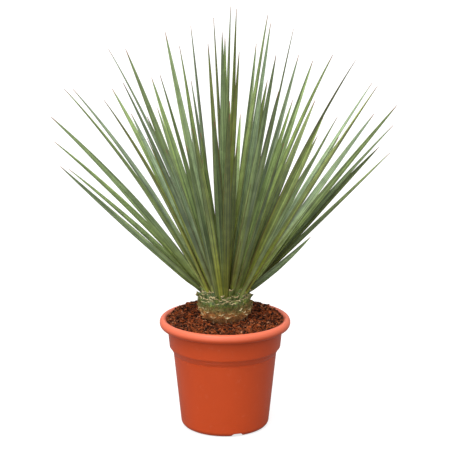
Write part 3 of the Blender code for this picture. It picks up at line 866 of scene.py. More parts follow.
def fan_leaves(draw):
    """The leaves seen in the fan. One that seems short leans in depth, by a share of what it lacks."""
    plans = []
    for number, (across, height) in enumerate(FAN_TIPS):
        across = across * MM
        height = height * MM
        reach = math.hypot(across, height - CROWN_SEEN)
        depth = math.sqrt(max(0, LEAF_LENGTH ** 2 - reach ** 2))
        depth = min(depth, math.sqrt(PLAN_RADIUS ** 2 - across ** 2))
        spread = number * GOLDEN_ANGLE / math.tau % 1
        depth *= LEAST_DEPTH_SHARE + (1 - LEAST_DEPTH_SHARE) * math.sqrt(spread)
        tip = along_sight(across, height, -depth)
        if number % 2 or lean_of(tip) > FRONT_LEAN:
            tip = along_sight(across, height, depth)
        plan = leaf_plan(tip, draw)
        plan["bow"] = OWN_BOWS.get(number, plan["bow"])
        plans.append(plan)
    return plans


def forward_leaves(draw):
    """The leaves that hang towards the front, and the short one low on the right."""
    plans = []
    for across, height in FORWARD_TIPS:
        tip = along_sight(across * MM, height * MM, -FORWARD_DEPTH)
        plan = leaf_plan(tip, draw)
        plan["bow"] = FORWARD_BOW
        plan["roll"] = 0
        plans.append(plan)
    short = leaf_plan(along_sight(SHORT_TIP[0] * MM, SHORT_TIP[1] * MM, -SHORT_DEPTH), draw)
    short["bow"] = SHORT_BOW
    return plans + [short]


def inner_leaves(draw):
    """Two thirds of these lean back and the rest forward, evenly spread by golden ratios."""
    sight = (CROWN - EYE).normalized()
    plans = []
    for number in range(INNER_LEAVES):
        forward = number % 3 == 0
        most, swing, reach = INNER_FRONT if forward else INNER_BACK
        share = math.sqrt((number + 0.5) / INNER_LEAVES)
        lean = INNER_LEAST_LEAN + (most - INNER_LEAST_LEAN) * share
        turn = swing * (2 * (number * GOLDEN_ANGLE / math.tau % 1) - 1)
        outward = Vector((math.sin(turn), -math.cos(turn) if forward else math.cos(turn), 0))
        way = outward * math.sin(lean) + UP * math.cos(lean)
        reach *= draw.uniform(INNER_REACH_SHARE, 1)
        length = min(INNER_LONGEST, reach / way.cross(sight).length)
        plans.append(leaf_plan(CROWN + way * length, draw))
    return plans


def leaf_plans():
    """The plans of all leaves, in a fixed order."""
    draw = random.Random(11)
    return fan_leaves(draw) + forward_leaves(draw) + inner_leaves(draw)


def leaf_path(plan, stations):
    """A smooth curve from root to tip that arches up by the leaf's bow."""
    chord = plan["tip"] - plan["root"]
    level = UP.cross(plan["outward"])
    arch = chord.cross(level).normalized()
    middle = plan["root"] + chord * 0.5 + arch * (chord.length * plan["bow"])
    points = []
    for share in stations:
        rest = 1 - share
        points.append(plan["root"] * rest ** 2 + middle * (2 * rest * share) + plan["tip"] * share ** 2)
    return points


def leaf_rolls(plan, stations):
    """A leaf clasps the stem at its base, rolls soon after and twists evenly to its tip."""
    return [plan["roll"] * min(1, share / ROLL_SHARE) + plan["twist"] * share for share in stations]


def loft_leaf(skin, plan, sections, look):
    """One whole leaf after its plan."""
    stations = [step / (sections - 1) for step in range(sections)]
    widths = [leaf_width(share, plan["width"]) for share in stations]
    loft_blade(skin, leaf_path(plan, stations), widths, leaf_rolls(plan, stations), plan["outward"], look,
               (MARGIN, 0, FOLD, 8))


def rough_cut(draw, depth):
    """A slanted, torn end for a cut blade."""
    slant = draw.uniform(-depth, depth)
    phase = draw.uniform(0, math.tau)
    teeth = draw.uniform(4, 9)
    return lambda side: slant * side + depth * (0.4 * math.sin(teeth * side + phase) - 0.2)


def loft_stub(skin, number, draw, torn):
    """The base of a leaf that was cut off short, low on the crown. The lowest lean out furthest."""
    turn = number * GOLDEN_ANGLE
    outward = Vector((math.cos(turn), math.sin(turn), 0))
    share = (number + 0.5) / STUBS
    lean = STUB_LEAN[1] + (STUB_LEAN[0] - STUB_LEAN[1]) * share
    lean += draw.uniform(-STUB_LEAN_SCATTER, STUB_LEAN_SCATTER)
    foot = outward * STUB_FOOT_RADIUS + UP * (STUB_BAND[0] + (STUB_BAND[1] - STUB_BAND[0]) * share)
    way = outward * math.sin(lean) + UP * math.cos(lean)
    end = foot + way * draw.uniform(*STUB_LENGTH)
    widths = [STUB_FOOT_WIDTH, draw.uniform(*STUB_WIDTH)]
    rolls = [0, draw.uniform(-STUB_TWIST, STUB_TWIST)]
    look = (torn.uniform(0.5, 1), torn.uniform(0.2, 0.9), torn.random())
    shape = (MARGIN, STUB_SPINE, SHORT_FOLD, 12)
    loft_short(skin, foot, end, widths, rolls, outward, look, shape, rough_cut(torn, STUB_TEAR))


def loft_short(skin, foot, end, widths, rolls, outward, look, shape, ragged):
    """A short cut blade with a pale end."""
    shares = (0, 0.35, 0.65, 1)
    path = [foot.lerp(end, share) for share in shares]
    wide = [widths[0] + (widths[1] - widths[0]) * share for share in shares]
    turned = [rolls[0] + (rolls[1] - rolls[0]) * share for share in shares]
    loft_blade(skin, path, wide, turned, outward, look, shape, (0, 1), ragged)


def dome_radius(height):
    """The crown's radius at a height."""
    for (narrow, above), (wide, below) in zip(DOME_PROFILE, DOME_PROFILE[1:]):
        if height >= below:
            return wide + (narrow - wide) * min(1, (height - below) / (above - below))
    return DOME_PROFILE[-1][0]


def loft_clasp(skin, number, count, draw):
    """A short cut leaf that clasps the foot of the crown."""
    turn = number * GOLDEN_ANGLE + CLASP_TURN
    outward = Vector((math.cos(turn), math.sin(turn), 0))
    share = (number + 0.5) / count
    height = CLASP_BAND[0] + (CLASP_BAND[1] - CLASP_BAND[0]) * share
    lean = draw.uniform(*CLASP_LEAN)
    foot = outward * (dome_radius(height) - CLASP_DEPTH) + UP * height
    way = outward * math.sin(lean) + UP * math.cos(lean)
    end = foot + way * draw.uniform(*CLASP_LENGTH)
    width = draw.uniform(*CLASP_WIDTH)
    look = (draw.uniform(0.5, 1), draw.uniform(0.1, 0.8), draw.random())
    rolls = [0, draw.uniform(-CLASP_TWIST, CLASP_TWIST)]
    shape = (MARGIN, CLASP_SPINE, SHORT_FOLD, 10)
    loft_short(skin, foot, end, [width * CLASP_SPREAD, width], rolls, outward, look, shape,
               rough_cut(draw, CLASP_TEAR))


def turn_solid(skin, profile, sides, look, bump, slot=0):
    """A closed turned body from a profile that starts and ends on the axis, with a bumpy skin."""
    rings = []
    for radius, height in profile[1:-1]:
        points = []
        for side in range(sides):
            turn = math.tau * side / sides
            way = Vector((math.cos(turn), math.sin(turn), 0))
            place = way * radius + UP * height
            points.append(place - way * (bump * (0.5 + 0.5 * noise.noise(place / BUMP_SIZE))))
        rings.append(skin.ring(points, [(0, 0.1, 0)] * sides, look))
    for near, far in zip(rings, rings[1:]):
        skin.bridge(near, far, slot)
    skin.close_fan(rings[0], UP * profile[0][1], look, slot)
    skin.close_fan(rings[-1], UP * profile[-1][1], look, slot)


# Stem


def stem_radius(height):
    """The stem's radius at a height, between the points of its profile."""
    for (wide, above), (narrow, below) in zip(STEM_PROFILE, STEM_PROFILE[1:]):
        if height >= below:
            return narrow + (wide - narrow) * min(1, (height - below) / (above - below))
    return STEM_RADIUS


def loft_scale(skin, number, draw, torn):
    """A clasping old leaf base on the stem, broad, thick and cut straight."""
    turn = number * GOLDEN_ANGLE
    outward = Vector((math.cos(turn), math.sin(turn), 0))
    height = SCALE_BAND[0] + (SCALE_BAND[1] - SCALE_BAND[0]) * (number + 0.5) / SCALES
    foot = outward * (stem_radius(height) - SCALE_DEPTH) + UP * height
    rise = min(draw.uniform(*SCALE_LENGTH), STEM_TOP - SCALE_MARGIN - height)
    top = stem_radius(height + rise) + draw.uniform(*SCALE_REACH)
    widths = [SCALE_FOOT_WIDTH, draw.uniform(*SCALE_WIDTH)]
    rolls = [0, draw.uniform(-SCALE_TWIST, SCALE_TWIST)]
    look = (torn.random(), torn.random(), torn.random())
    shape = (SCALE_THICKNESS, SCALE_SPINE, SHORT_FOLD, 14)
    loft_short(skin, foot, outward * top + UP * (height + rise), widths, rolls, outward, look, shape,
               rough_cut(torn, SCALE_TEAR))


def loft_husk(skin, number, draw):
    """A thin torn husk that stands between the scales, evenly spread round the stem."""
    turn = number * GOLDEN_ANGLE + draw.uniform(-HUSK_SCATTER, HUSK_SCATTER)
    outward = Vector((math.cos(turn), math.sin(turn), 0))
    height = draw.triangular(*HUSK_BAND)
    foot = outward * (stem_radius(height) - HUSK_DEPTH) + UP * height
    rise = draw.uniform(*HUSK_RISE)
    reach = stem_radius(height + rise) + draw.uniform(*HUSK_REACH)
    end = outward * reach + UP * (height + rise)
    width = draw.uniform(*HUSK_WIDTH)
    widths = [width, width, width * draw.uniform(0.3, 0.8)]
    rolls = [0, 0, draw.uniform(-HUSK_TWIST, HUSK_TWIST)]
    look = (draw.random(), draw.random(), draw.random())
    loft_blade(skin, [foot, foot.lerp(end, 0.5), end], widths, rolls, outward, look,
               (HUSK_THICKNESS, 0, SHORT_FOLD, 4), (0, 0), rough_cut(draw, HUSK_TEAR))


def root_fibre(skin, draw):
    """A pale fibre that hangs from the stem's foot to the soil."""
    turn = draw.uniform(0, math.tau)
    sway = draw.uniform(-ROOT_SWAY, ROOT_SWAY)
    length = draw.uniform(*ROOT_LENGTH)
    start = draw.uniform(*ROOT_START)
    path = []
    for step in range(ROOT_STEPS + 1):
        share = step / ROOT_STEPS
        height = start - length * share
        spread = max(stem_radius(height), ROOT_LEAST_SPREAD) + ROOT_LIFT + ROOT_FLARE * share ** 2
        angle = turn + sway * share
        path.append(Vector((spread * math.cos(angle), spread * math.sin(angle), height)))
    thread(skin, path, draw.uniform(*ROOT_THICKNESS), (draw.random(), draw.random(), 1), 2)


# Materials


def add_node(tree, kind, inputs=None, **settings):
    """Places a node, with its settings and with a value or a link for each named input."""
    node = tree.nodes.new(kind)
    for name, value in settings.items():
        setattr(node, name, value)
    for name, value in (inputs or {}).items():
        if isinstance(value, bpy.types.NodeSocket):
            tree.links.new(value, node.inputs[name])
        else:
            node.inputs[name].default_value = value
    return node


def maths(tree, operation, first, second=0.0, clamp=False):
    """One sum on two numbers or sockets."""
    node = add_node(tree, "ShaderNodeMath", {0: first, 1: second}, operation=operation, use_clamp=clamp)
    return node.outputs[0]


def mix(tree, share, first, second, blend="MIX"):
    """Mixes two colours, each of them a socket or a plain colour."""
    colours = [value if isinstance(value, bpy.types.NodeSocket) else (*value, 1) for value in (first, second)]
    node = add_node(tree, "ShaderNodeMix", {0: share, 6: colours[0], 7: colours[1]}, data_type="RGBA",
                    blend_type=blend)
    return node.outputs[2]


def between(tree, value, low, high, to_low=0.0, to_high=1.0):
    """A smooth step from one value to another as its input goes from low to high."""
    inputs = {0: value, 1: low, 2: high, 3: to_low, 4: to_high}
    node = add_node(tree, "ShaderNodeMapRange", inputs, interpolation_type="SMOOTHSTEP")
    return node.outputs[0]


def marks(tree, name):
    """The three numbers of a mark that the piece carries."""
    node = add_node(tree, "ShaderNodeAttribute", attribute_name=name)
    parts = add_node(tree, "ShaderNodeSeparateXYZ", {0: node.outputs["Vector"]})
    return parts.outputs[0], parts.outputs[1], parts.outputs[2]


def new_group(name, inputs, outputs):
    """An empty node group with its named sockets."""
    tree = bpy.data.node_groups.new(name, "ShaderNodeTree")
    for title, kind, value in inputs:
        socket = tree.interface.new_socket(title, in_out="INPUT", socket_type=kind)
        if value is not None:
            socket.default_value = value
    for title in outputs:
        tree.interface.new_socket(title, in_out="OUTPUT", socket_type="NodeSocketFloat")
    return tree, tree.nodes.new("NodeGroupInput"), tree.nodes.new("NodeGroupOutput")


def grouped(tree, name, **inputs):
    """Places a node group in a material with values of its own. A group is built where it is first used."""
    node = tree.nodes.new("ShaderNodeGroup")
    node.node_tree = bpy.data.node_groups.get(name) or GROUPS[name]()
    for key, value in inputs.items():
        socket = node.inputs[key.replace("_", " ").capitalize()]
        if isinstance(value, bpy.types.NodeSocket):
            tree.links.new(value, socket)
        else:
            socket.default_value = value
    return node


def lengthwise_fibres():
    """Streaks that run along a blade: how light each one is."""
    inputs = (("Across", "NodeSocketFloat", 0.0), ("Along", "NodeSocketFloat", 0.0),
              ("Seed", "NodeSocketFloat", 0.0), ("Count", "NodeSocketFloat", 8.0),
              ("Breaks", "NodeSocketFloat", 3.0), ("Contrast", "NodeSocketFloat", 2.0))
    tree, given, result = new_group("lengthwise fibres", inputs, ("Streak",))
    place = add_node(tree, "ShaderNodeCombineXYZ", {
        0: maths(tree, "MULTIPLY", given.outputs["Across"], given.outputs["Count"]),
        1: maths(tree, "MULTIPLY", given.outputs["Along"], given.outputs["Breaks"]),
        2: maths(tree, "MULTIPLY", given.outputs["Seed"], 90.0),
    })
    texture = add_node(tree, "ShaderNodeTexNoise", {"Vector": place.outputs[0], "Scale": 1.0, "Detail": 3.0,
                                                    "Roughness": 0.6})
    centred = maths(tree, "SUBTRACT", texture.outputs[0], 0.5)
    spread = maths(tree, "MULTIPLY", centred, given.outputs["Contrast"])
    tree.links.new(maths(tree, "ADD", spread, 0.5, clamp=True), result.inputs["Streak"])
    return tree


def patches():
    """Soft-edged patches of a given size, for dust, stains and uneven tone."""
    inputs = (("Size", "NodeSocketFloat", 0.02), ("Low", "NodeSocketFloat", 0.4),
              ("High", "NodeSocketFloat", 0.6), ("Roughness", "NodeSocketFloat", 0.5))
    tree, given, result = new_group("patches", inputs, ("Patch",))
    place = add_node(tree, "ShaderNodeTexCoord")
    scale = maths(tree, "DIVIDE", 1.0, given.outputs["Size"])
    texture = add_node(tree, "ShaderNodeTexNoise", {"Vector": place.outputs["Object"], "Scale": scale,
                                                    "Detail": 4.0, "Roughness": given.outputs["Roughness"]})
    patch = between(tree, texture.outputs[0], given.outputs["Low"], given.outputs["High"])
    tree.links.new(patch, result.inputs["Patch"])
    return tree


def crumbs():
    """Small cells, each with a tone of its own, and how deep the gaps between them are."""
    inputs = (("Size", "NodeSocketFloat", 0.003),)
    tree, given, result = new_group("crumbs", inputs, ("Tone", "Gap"))
    place = add_node(tree, "ShaderNodeTexCoord")
    scale = maths(tree, "DIVIDE", 1.0, given.outputs["Size"])
    cells = add_node(tree, "ShaderNodeTexVoronoi", {"Vector": place.outputs["Object"], "Scale": scale})
    tone = add_node(tree, "ShaderNodeSeparateColor", {0: cells.outputs["Color"]})
    tree.links.new(tone.outputs[0], result.inputs["Tone"])
    tree.links.new(cells.outputs["Distance"], result.inputs["Gap"])
    return tree


GROUPS = {"lengthwise fibres": lengthwise_fibres, "patches": patches, "crumbs": crumbs}


def new_material(name):
    """A material with its tree and its main shader."""
    material = bpy.data.materials.new(name)
    material.use_nodes = True
    tree = material.node_tree
    return material, tree, tree.nodes["Principled BSDF"]


def finish_material(tree, shader, colour, roughness, height=None, depth=0.0):
    """Links a colour, a roughness and a bump to a material's shader."""
    tree.links.new(colour, shader.inputs["Base Color"])
    if isinstance(roughness, bpy.types.NodeSocket):
        tree.links.new(roughness, shader.inputs["Roughness"])
    else:
        shader.inputs["Roughness"].default_value = roughness
    if height is not None:
        bump = add_node(tree, "ShaderNodeBump", {"Height": height, "Distance": depth, "Strength": 1.0})
        tree.links.new(bump.outputs[0], shader.inputs["Normal"])


def pot_plastic(settings):
    """Matt moulded plastic with faint cloudiness, rub marks and soil dust, and a highlight painted on the top
    of the rim.
    """
    material, tree, shader = new_material("moulded plastic")
    cloud = grouped(tree, "patches", size=80 * MM, low=0.2, high=0.8).outputs[0]
    rubs = grouped(tree, "patches", size=12 * MM, low=0.58, high=0.75, roughness=0.7).outputs[0]
    specks = grouped(tree, "patches", size=1.6 * MM, low=0.62, high=0.72).outputs[0]
    grain = grouped(tree, "patches", size=0.7 * MM, low=0.2, high=0.8).outputs[0]
    place = add_node(tree, "ShaderNodeTexCoord")
    height = add_node(tree, "ShaderNodeSeparateXYZ", {0: place.outputs["Object"]}).outputs[2]
    light = tuple(min(1, value * 1.04) for value in settings.colour)
    deep = tuple(value * 0.96 for value in settings.colour)
    colour = mix(tree, cloud, deep, light)
    # Painted highlight: the top of the rim is painted paler, as where light from above falls on it
    rim_highlight = maths(tree, "MULTIPLY", between(tree, height, *RIM_HIGHLIGHT_HEIGHTS), 0.62)
    colour = mix(tree, rim_highlight, colour, settings.rim_highlight)
    near_rim = between(tree, height, *RIM_DUST)
    near_foot = between(tree, height, *FOOT_DUST)
    dusty = maths(tree, "MULTIPLY", specks, maths(tree, "ADD", maths(tree, "MULTIPLY", near_rim, 0.5),
                                                  maths(tree, "MULTIPLY", near_foot, 0.6)), clamp=True)
    colour = mix(tree, dusty, colour, settings.dust)
    colour = mix(tree, maths(tree, "MULTIPLY", rubs, 0.12), colour, RUB_MARK)
    roughness = maths(tree, "ADD", maths(tree, "MULTIPLY", rubs, 0.12), 0.36)
    shader.inputs["Specular IOR Level"].default_value = 0.38
    finish_material(tree, shader, colour, roughness, grain, PLASTIC_GRAIN)
    return material


def potting_mix(settings):
    """Damp peat with bark crumbs. A loose chip or fibre has a tone of its own."""
    material, tree, shader = new_material("potting mix")
    tone, _, loose = marks(tree, "look")
    cells = grouped(tree, "crumbs", size=SOIL_CRUMB)
    fine = grouped(tree, "crumbs", size=SOIL_SPECK)
    damp = grouped(tree, "patches", size=14 * MM, low=0.42, high=0.56).outputs[0]
    ground = mix(tree, cells.outputs["Tone"], settings.dark, settings.brown)
    ground = mix(tree, maths(tree, "MULTIPLY", damp, 0.85), ground, settings.dark)
    sparse = between(tree, fine.outputs["Tone"], 0.93, 0.98)
    ground = mix(tree, maths(tree, "MULTIPLY", sparse, 0.55), ground, settings.pale)
    chip = mix(tree, between(tree, tone, 0.25, 0.85), settings.dark, settings.brown)
    chip = mix(tree, maths(tree, "MULTIPLY", between(tree, tone, 0.86, 1.0), 0.8), chip, settings.pale)
    colour = mix(tree, loose, ground, chip)
    height = maths(tree, "ADD", cells.outputs["Gap"], maths(tree, "MULTIPLY", fine.outputs["Gap"], 0.4))
    shader.inputs["Specular IOR Level"].default_value = 0.12
    finish_material(tree, shader, colour, 0.85, height, SOIL_RELIEF)
    return material


def leaf_skin(settings):
    """Tough waxy leaf with lengthwise veins, olive ageing, a thin dry margin and a dry point, with painted
    shade along its channel and where the leaf bases overlap.
    """
    material, tree, shader = new_material("leaf skin")
    across, along, _ = marks(tree, "place")
    tone, age, seed = marks(tree, "look")
    edge = maths(tree, "ABSOLUTE", across)
    bands = grouped(tree, "lengthwise fibres", across=across, along=along, seed=seed, count=2.6, breaks=1.6,
                    contrast=3.6).outputs[0]
    veins = grouped(tree, "lengthwise fibres", across=across, along=along, seed=seed, count=15.0, breaks=5.0,
                    contrast=2.4).outputs[0]
    flecks = grouped(tree, "patches", size=6 * MM, low=0.60, high=0.72, roughness=0.7).outputs[0]
    blotches = grouped(tree, "patches", size=22 * MM, low=0.35, high=0.65).outputs[0]
    colour = mix(tree, tone, settings.blue, settings.green)
    base = between(tree, along, 0.50, 0.04)
    older = maths(tree, "ADD", maths(tree, "MULTIPLY", between(tree, age, 0.3, 1.0), 0.60),
                  maths(tree, "MULTIPLY", base, 0.60))
    older = maths(tree, "ADD", older, maths(tree, "MULTIPLY", maths(tree, "SUBTRACT", bands, 0.5), 0.45),
                  clamp=True)
    colour = mix(tree, older, colour, settings.olive)
    shade = between(tree, veins, 0.0, 1.0, 0.80, 1.18)
    darkest = between(tree, along, 0.02, 0.45, 0.86, 0.55)
    shade = maths(tree, "MULTIPLY", shade, between(tree, bands, 0.05, 0.95, darkest, 1.22))
    shade = maths(tree, "MULTIPLY", shade, between(tree, blotches, 0.0, 1.0, 0.86, 1.10))
    shade = maths(tree, "MULTIPLY", shade, between(tree, seed, 0.0, 1.0, 0.76, 1.36))
    # Painted shade: each leaf is darkened along the middle of its channel, as where shade falls in the crease
    groove = maths(tree, "MULTIPLY", between(tree, edge, 0.16, 0.02), 0.30)
    shade = maths(tree, "MULTIPLY", shade, maths(tree, "SUBTRACT", 1.0, groove))
    dimmed = add_node(tree, "ShaderNodeCombineXYZ", {0: shade, 1: shade, 2: shade}).outputs[0]
    colour = mix(tree, 1.0, colour, dimmed, "MULTIPLY")
    # Painted shade: the sides of the leaf bases are darkened towards LEAF_SHADOW, where the leaves overlap
    # and shade one another
    painted_base_shade = maths(tree, "MULTIPLY", between(tree, edge, 0.45, 0.95), between(tree, along, 0.45, 0.05))
    colour = mix(tree, maths(tree, "MULTIPLY", painted_base_shade, 0.60), colour, LEAF_SHADOW)
    rim = maths(tree, "MULTIPLY", between(tree, edge, 0.90, 0.99), between(tree, age, 0.1, 0.9, 0.35, 0.9))
    colour = mix(tree, rim, colour, settings.margin)
    rust = maths(tree, "MULTIPLY", flecks, maths(tree, "MULTIPLY", between(tree, edge, 0.45, 0.95),
                                                 between(tree, age, 0.45, 0.9)))
    colour = mix(tree, maths(tree, "MULTIPLY", rust, 0.8), colour, LEAF_RUST)
    point = between(tree, maths(tree, "ADD", along, maths(tree, "MULTIPLY", bands, 0.02)), 0.965, 1.005)
    colour = mix(tree, point, colour, settings.tip)
    roughness = between(tree, veins, 0.0, 1.0, 0.40, 0.58)
    finish_material(tree, shader, colour, roughness, veins, LEAF_RELIEF)
    return material


def cut_end(settings):
    """The pale, fibrous face where a leaf was cut, browned here and there."""
    material, tree, shader = new_material("pale cut end")
    _, age, _ = marks(tree, "look")
    fibres = grouped(tree, "crumbs", size=0.8 * MM)
    stain = grouped(tree, "patches", size=4 * MM, low=0.42, high=0.62).outputs[0]
    colour = mix(tree, between(tree, fibres.outputs["Gap"], 0.0, 0.6), settings.cut, CUT_FIBRE)
    browned = maths(tree, "MULTIPLY", stain, between(tree, age, 0.3, 1.0, 0.2, 0.9))
    colour = mix(tree, browned, colour, CUT_BROWN)
    finish_material(tree, shader, colour, 0.8, fibres.outputs["Gap"], CUT_RELIEF)
    return material


def dry_husk(settings):
    """Fibrous old leaf base, tan below and greener under the leaves."""
    material, tree, shader = new_material("dry husk")
    across, along, _ = marks(tree, "place")
    tone, _, seed = marks(tree, "look")
    place = add_node(tree, "ShaderNodeTexCoord")
    height = add_node(tree, "ShaderNodeSeparateXYZ", {0: place.outputs["Object"]}).outputs[2]
    stain = grouped(tree, "patches", size=7 * MM, low=0.38, high=0.62, roughness=0.65).outputs[0]
    fibres = grouped(tree, "lengthwise fibres", across=across, along=along, seed=seed, count=9.0, breaks=1.5,
                     contrast=3.0).outputs[0]
    rise = maths(tree, "ADD", between(tree, height, *HUSK_GREENS),
                 maths(tree, "MULTIPLY", maths(tree, "SUBTRACT", tone, 0.5), 0.5), clamp=True)
    colour = mix(tree, rise, settings.low, settings.high)
    colour = mix(tree, maths(tree, "MULTIPLY", stain, 0.50), colour, HUSK_STAIN)
    shade = between(tree, fibres, 0.0, 1.0, 0.55, 1.35)
    dimmed = add_node(tree, "ShaderNodeCombineXYZ", {0: shade, 1: shade, 2: shade}).outputs[0]
    colour = mix(tree, 1.0, colour, dimmed, "MULTIPLY")
    finish_material(tree, shader, colour, 0.78, fibres, HUSK_RELIEF)
    return material


def root_skin():
    """Pale dry root fibre."""
    material, tree, shader = new_material("root fibre")
    tone, _, _ = marks(tree, "look")
    stain = grouped(tree, "patches", size=2 * MM, low=0.4, high=0.6).outputs[0]
    colour = mix(tree, tone, ROOT_PALE, ROOT_BROWN)
    colour = mix(tree, maths(tree, "MULTIPLY", stain, 0.4), colour, ROOT_STAIN)
    finish_material(tree, shader, colour, 0.8, stain, ROOT_RELIEF)
    return material


def studio_floor(settings):
    """Even pale floor with a faint tone of its own."""
    material, tree, shader = new_material("studio floor")
    cloud = grouped(tree, "patches", size=500 * MM, low=0.2, high=0.8).outputs[0]
    seen = add_node(tree, "ShaderNodeLightPath").outputs["Is Camera Ray"]
    colour = mix(tree, cloud, tuple(value * 0.985 for value in settings.floor), tuple(settings.floor))
    colour = mix(tree, seen, (settings.bounce,) * 3, colour)
    glow = mix(tree, seen, (0, 0, 0), (settings.glow,) * 3)
    tree.links.new(glow, shader.inputs["Emission Color"])
    shader.inputs["Emission Strength"].default_value = 1.0
    finish_material(tree, shader, colour, 0.9)
    return material


# Operators


class NOLINA_OT_pot(bpy.types.Operator):
    """Turn the pot and cut its foot notches and drain holes"""

    bl_idname = "nolina.pot"
    bl_label = "Pot"

    def execute(self, context):
        settings = context.scene.nolina_pot
        pot = turn_pot(settings)
        pot.data.materials.clear()
        pot.data.materials.append(pot_plastic(settings))
        pot.data.shade_smooth()
        pot.data.set_sharp_from_angle(angle=math.radians(40))
        settle(pot, "pot")
        return {"FINISHED"}


class NOLINA_OT_soil(bpy.types.Operator):
    """Fill the pot with potting mix, with loose chips and fibres on top"""

    bl_idname = "nolina.soil"
    bl_label = "Soil"

    def execute(self, context):
        settings = context.scene.nolina_soil
        skin = Skin()
        soil_surface(skin, context.scene.nolina_pot.wall)
        draw = random.Random(21)
        for _ in range(settings.chips):
            soil_chip(skin, draw)
        for _ in range(settings.fibres):
            soil_fibre(skin, draw)
        settle(skin.make("potting_mix", [potting_mix(settings)], 50), "soil")
        return {"FINISHED"}


class NOLINA_OT_stem(bpy.types.Operator):
    """Build the short stem with its old leaf bases, husks and root fibres"""

    bl_idname = "nolina.stem"
    bl_label = "Stem"

    def execute(self, context):
        settings = context.scene.nolina_stem
        skin = Skin()
        profile = [(0, STEM_TOP), (STEM_TOP_RADIUS, STEM_TOP), *STEM_PROFILE]
        profile += [(STEM_RADIUS, HOLE_FLOOR), (0, HOLE_FLOOR)]
        turn_solid(skin, finer(profile, STEM_STEP), STEM_SIDES, (0.5, 0.5, 0.5), STEM_BUMPS)
        draw = random.Random(5)
        torn = random.Random(6)
        for number in range(SCALES):
            loft_scale(skin, number, draw, torn)
        for number in range(settings.husks):
            loft_husk(skin, number, torn)
        for _ in range(settings.roots):
            root_fibre(skin, torn)
        materials = [dry_husk(settings), cut_end(settings), root_skin()]
        settle(skin.make("scaly_stem", materials, 45), "trunk")
        return {"FINISHED"}


class NOLINA_OT_leaves(bpy.types.Operator):
    """Build the rosette of leaves and the cut stubs round its foot"""

    bl_idname = "nolina.leaves"
    bl_label = "Leaves"

    def execute(self, context):
        settings = context.scene.nolina_leaves
        skin = Skin()
        foot = STEM_TOP + HEAD_GAP
        profile = [*DOME_PROFILE, (DOME_PROFILE[-1][0], foot), (0, foot)]
        turn_solid(skin, finer(profile, DOME_STEP), DOME_SIDES, (0.8, 0.9, 0.5), DOME_BUMPS)
        draw = random.Random(7)
        torn = random.Random(8)
        for number in range(STUBS):
            loft_stub(skin, number, draw, torn)
        for number in range(settings.clasps):
            loft_clasp(skin, number, settings.clasps, torn)
        shades = random.Random(9)
        for plan in leaf_plans():
            look = (shades.random(), shades.random(), shades.random())
            loft_leaf(skin, plan, settings.sections, look)
        materials = [leaf_skin(settings), cut_end(context.scene.nolina_stem)]
        settle(skin.make("leaf_rosette", materials, 50), "leaf_head")
        return {"FINISHED"}


class NOLINA_OT_stage(bpy.types.Operator):
    """Set up the floor, the soft lights and the camera"""

    bl_idname = "nolina.stage"
    bl_label = "Stage"

    def execute(self, context):
        settings = context.scene.nolina_stage
        lay_floor(settings)
        light_room(settings)
        place_camera(settings)
        return {"FINISHED"}


def lay_floor(settings):
    """A round pale floor that reaches far past the view."""
    mesh = bpy.data.meshes.new("studio_floor")
    shape = bmesh.new()
    bmesh.ops.create_circle(shape, cap_ends=True, segments=96, radius=FLOOR_RADIUS)
    shape.to_mesh(mesh)
    shape.free()
    mesh.materials.append(studio_floor(settings))
    floor = bpy.data.objects.new("studio_floor", mesh)
    bpy.context.scene.collection.objects.link(floor)


def light_room(settings):
    """A white room, brighter overhead, with a main light from the upper left and a weaker front light."""
    scene = bpy.context.scene
    scene.view_settings.view_transform = "Standard"
    world = bpy.data.worlds.new("white room")
    world.use_nodes = True
    tree = world.node_tree
    place = add_node(tree, "ShaderNodeTexCoord")
    rise = add_node(tree, "ShaderNodeSeparateXYZ", {0: place.outputs["Generated"]}).outputs[2]
    strength = between(tree, rise, 0.0, 0.9, settings.side, settings.sky)
    seen = add_node(tree, "ShaderNodeLightPath").outputs["Is Camera Ray"]
    strength = maths(tree, "MAXIMUM", strength, seen)
    background = tree.nodes["Background"]
    background.inputs["Color"].default_value = (1, 1, 1, 1)
    tree.links.new(strength, background.inputs["Strength"])
    scene.world = world
    hang_light("main light", settings.key, settings.softness, settings.height, settings.turn)
    hang_light("front light", settings.fill, settings.softness, settings.fill_height, settings.turn)


def hang_light(name, strength, softness, height, turn):
    """A wide soft light from a height above the horizon, turned left of the camera."""
    lamp = bpy.data.lights.new(name, "SUN")
    lamp.energy = strength
    lamp.angle = softness
    light = bpy.data.objects.new(name, lamp)
    light.rotation_euler = (math.pi / 2 - height, 0, -turn)
    bpy.context.scene.collection.objects.link(light)


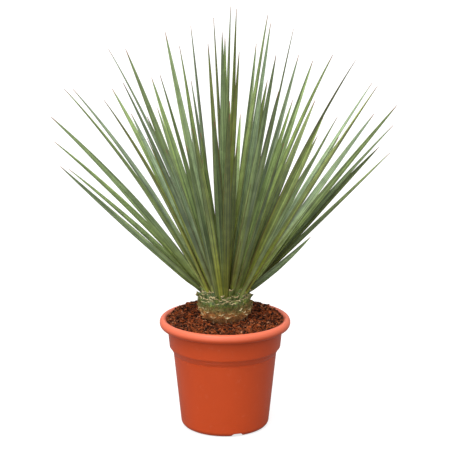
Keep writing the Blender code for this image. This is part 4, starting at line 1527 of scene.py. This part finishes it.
def place_camera(settings):
    """A long lens in front of the pot, looking slightly down."""
    data = bpy.data.cameras.new("camera")
    data.sensor_width = SENSOR_WIDTH
    data.lens = settings.lens
    camera = bpy.data.objects.new("camera", data)
    camera.location = EYE
    camera.rotation_euler = (math.pi / 2 - CAMERA_TILT, 0, 0)
    bpy.context.scene.collection.objects.link(camera)
    bpy.context.scene.camera = camera


class NOLINA_PT_panel(bpy.types.Panel):
    """Lists the pieces and their settings"""

    bl_idname = "NOLINA_PT_panel"
    bl_label = "Potted nolina"
    bl_space_type = "VIEW_3D"
    bl_region_type = "UI"
    bl_category = "Nolina"

    def draw(self, context):
        for operator, settings in PIECES:
            box = self.layout.box()
            box.operator(operator.bl_idname)
            group = getattr(context.scene, settings)
            for name in group.bl_rna.properties.keys():
                if name not in ("rna_type", "name"):
                    box.prop(group, name)


SETTINGS = {
    "nolina_pot": PotSettings,
    "nolina_soil": SoilSettings,
    "nolina_stem": StemSettings,
    "nolina_leaves": LeafSettings,
    "nolina_stage": StageSettings,
}
PIECES = (
    (NOLINA_OT_pot, "nolina_pot"),
    (NOLINA_OT_soil, "nolina_soil"),
    (NOLINA_OT_stem, "nolina_stem"),
    (NOLINA_OT_leaves, "nolina_leaves"),
    (NOLINA_OT_stage, "nolina_stage"),
)


def register():
    for name, settings in SETTINGS.items():
        bpy.utils.register_class(settings)
        setattr(bpy.types.Scene, name, PointerProperty(type=settings))
    for operator, _ in PIECES:
        bpy.utils.register_class(operator)
    bpy.utils.register_class(NOLINA_PT_panel)


def unregister():
    bpy.utils.unregister_class(NOLINA_PT_panel)
    for operator, _ in reversed(PIECES):
        bpy.utils.unregister_class(operator)
    for name, settings in reversed(SETTINGS.items()):
        delattr(bpy.types.Scene, name)
        bpy.utils.unregister_class(settings)


def main():
    register()
    bpy.ops.nolina.pot()
    bpy.ops.nolina.soil()
    bpy.ops.nolina.stem()
    bpy.ops.nolina.leaves()
    bpy.ops.nolina.stage()


if __name__ == "__main__":
    main()
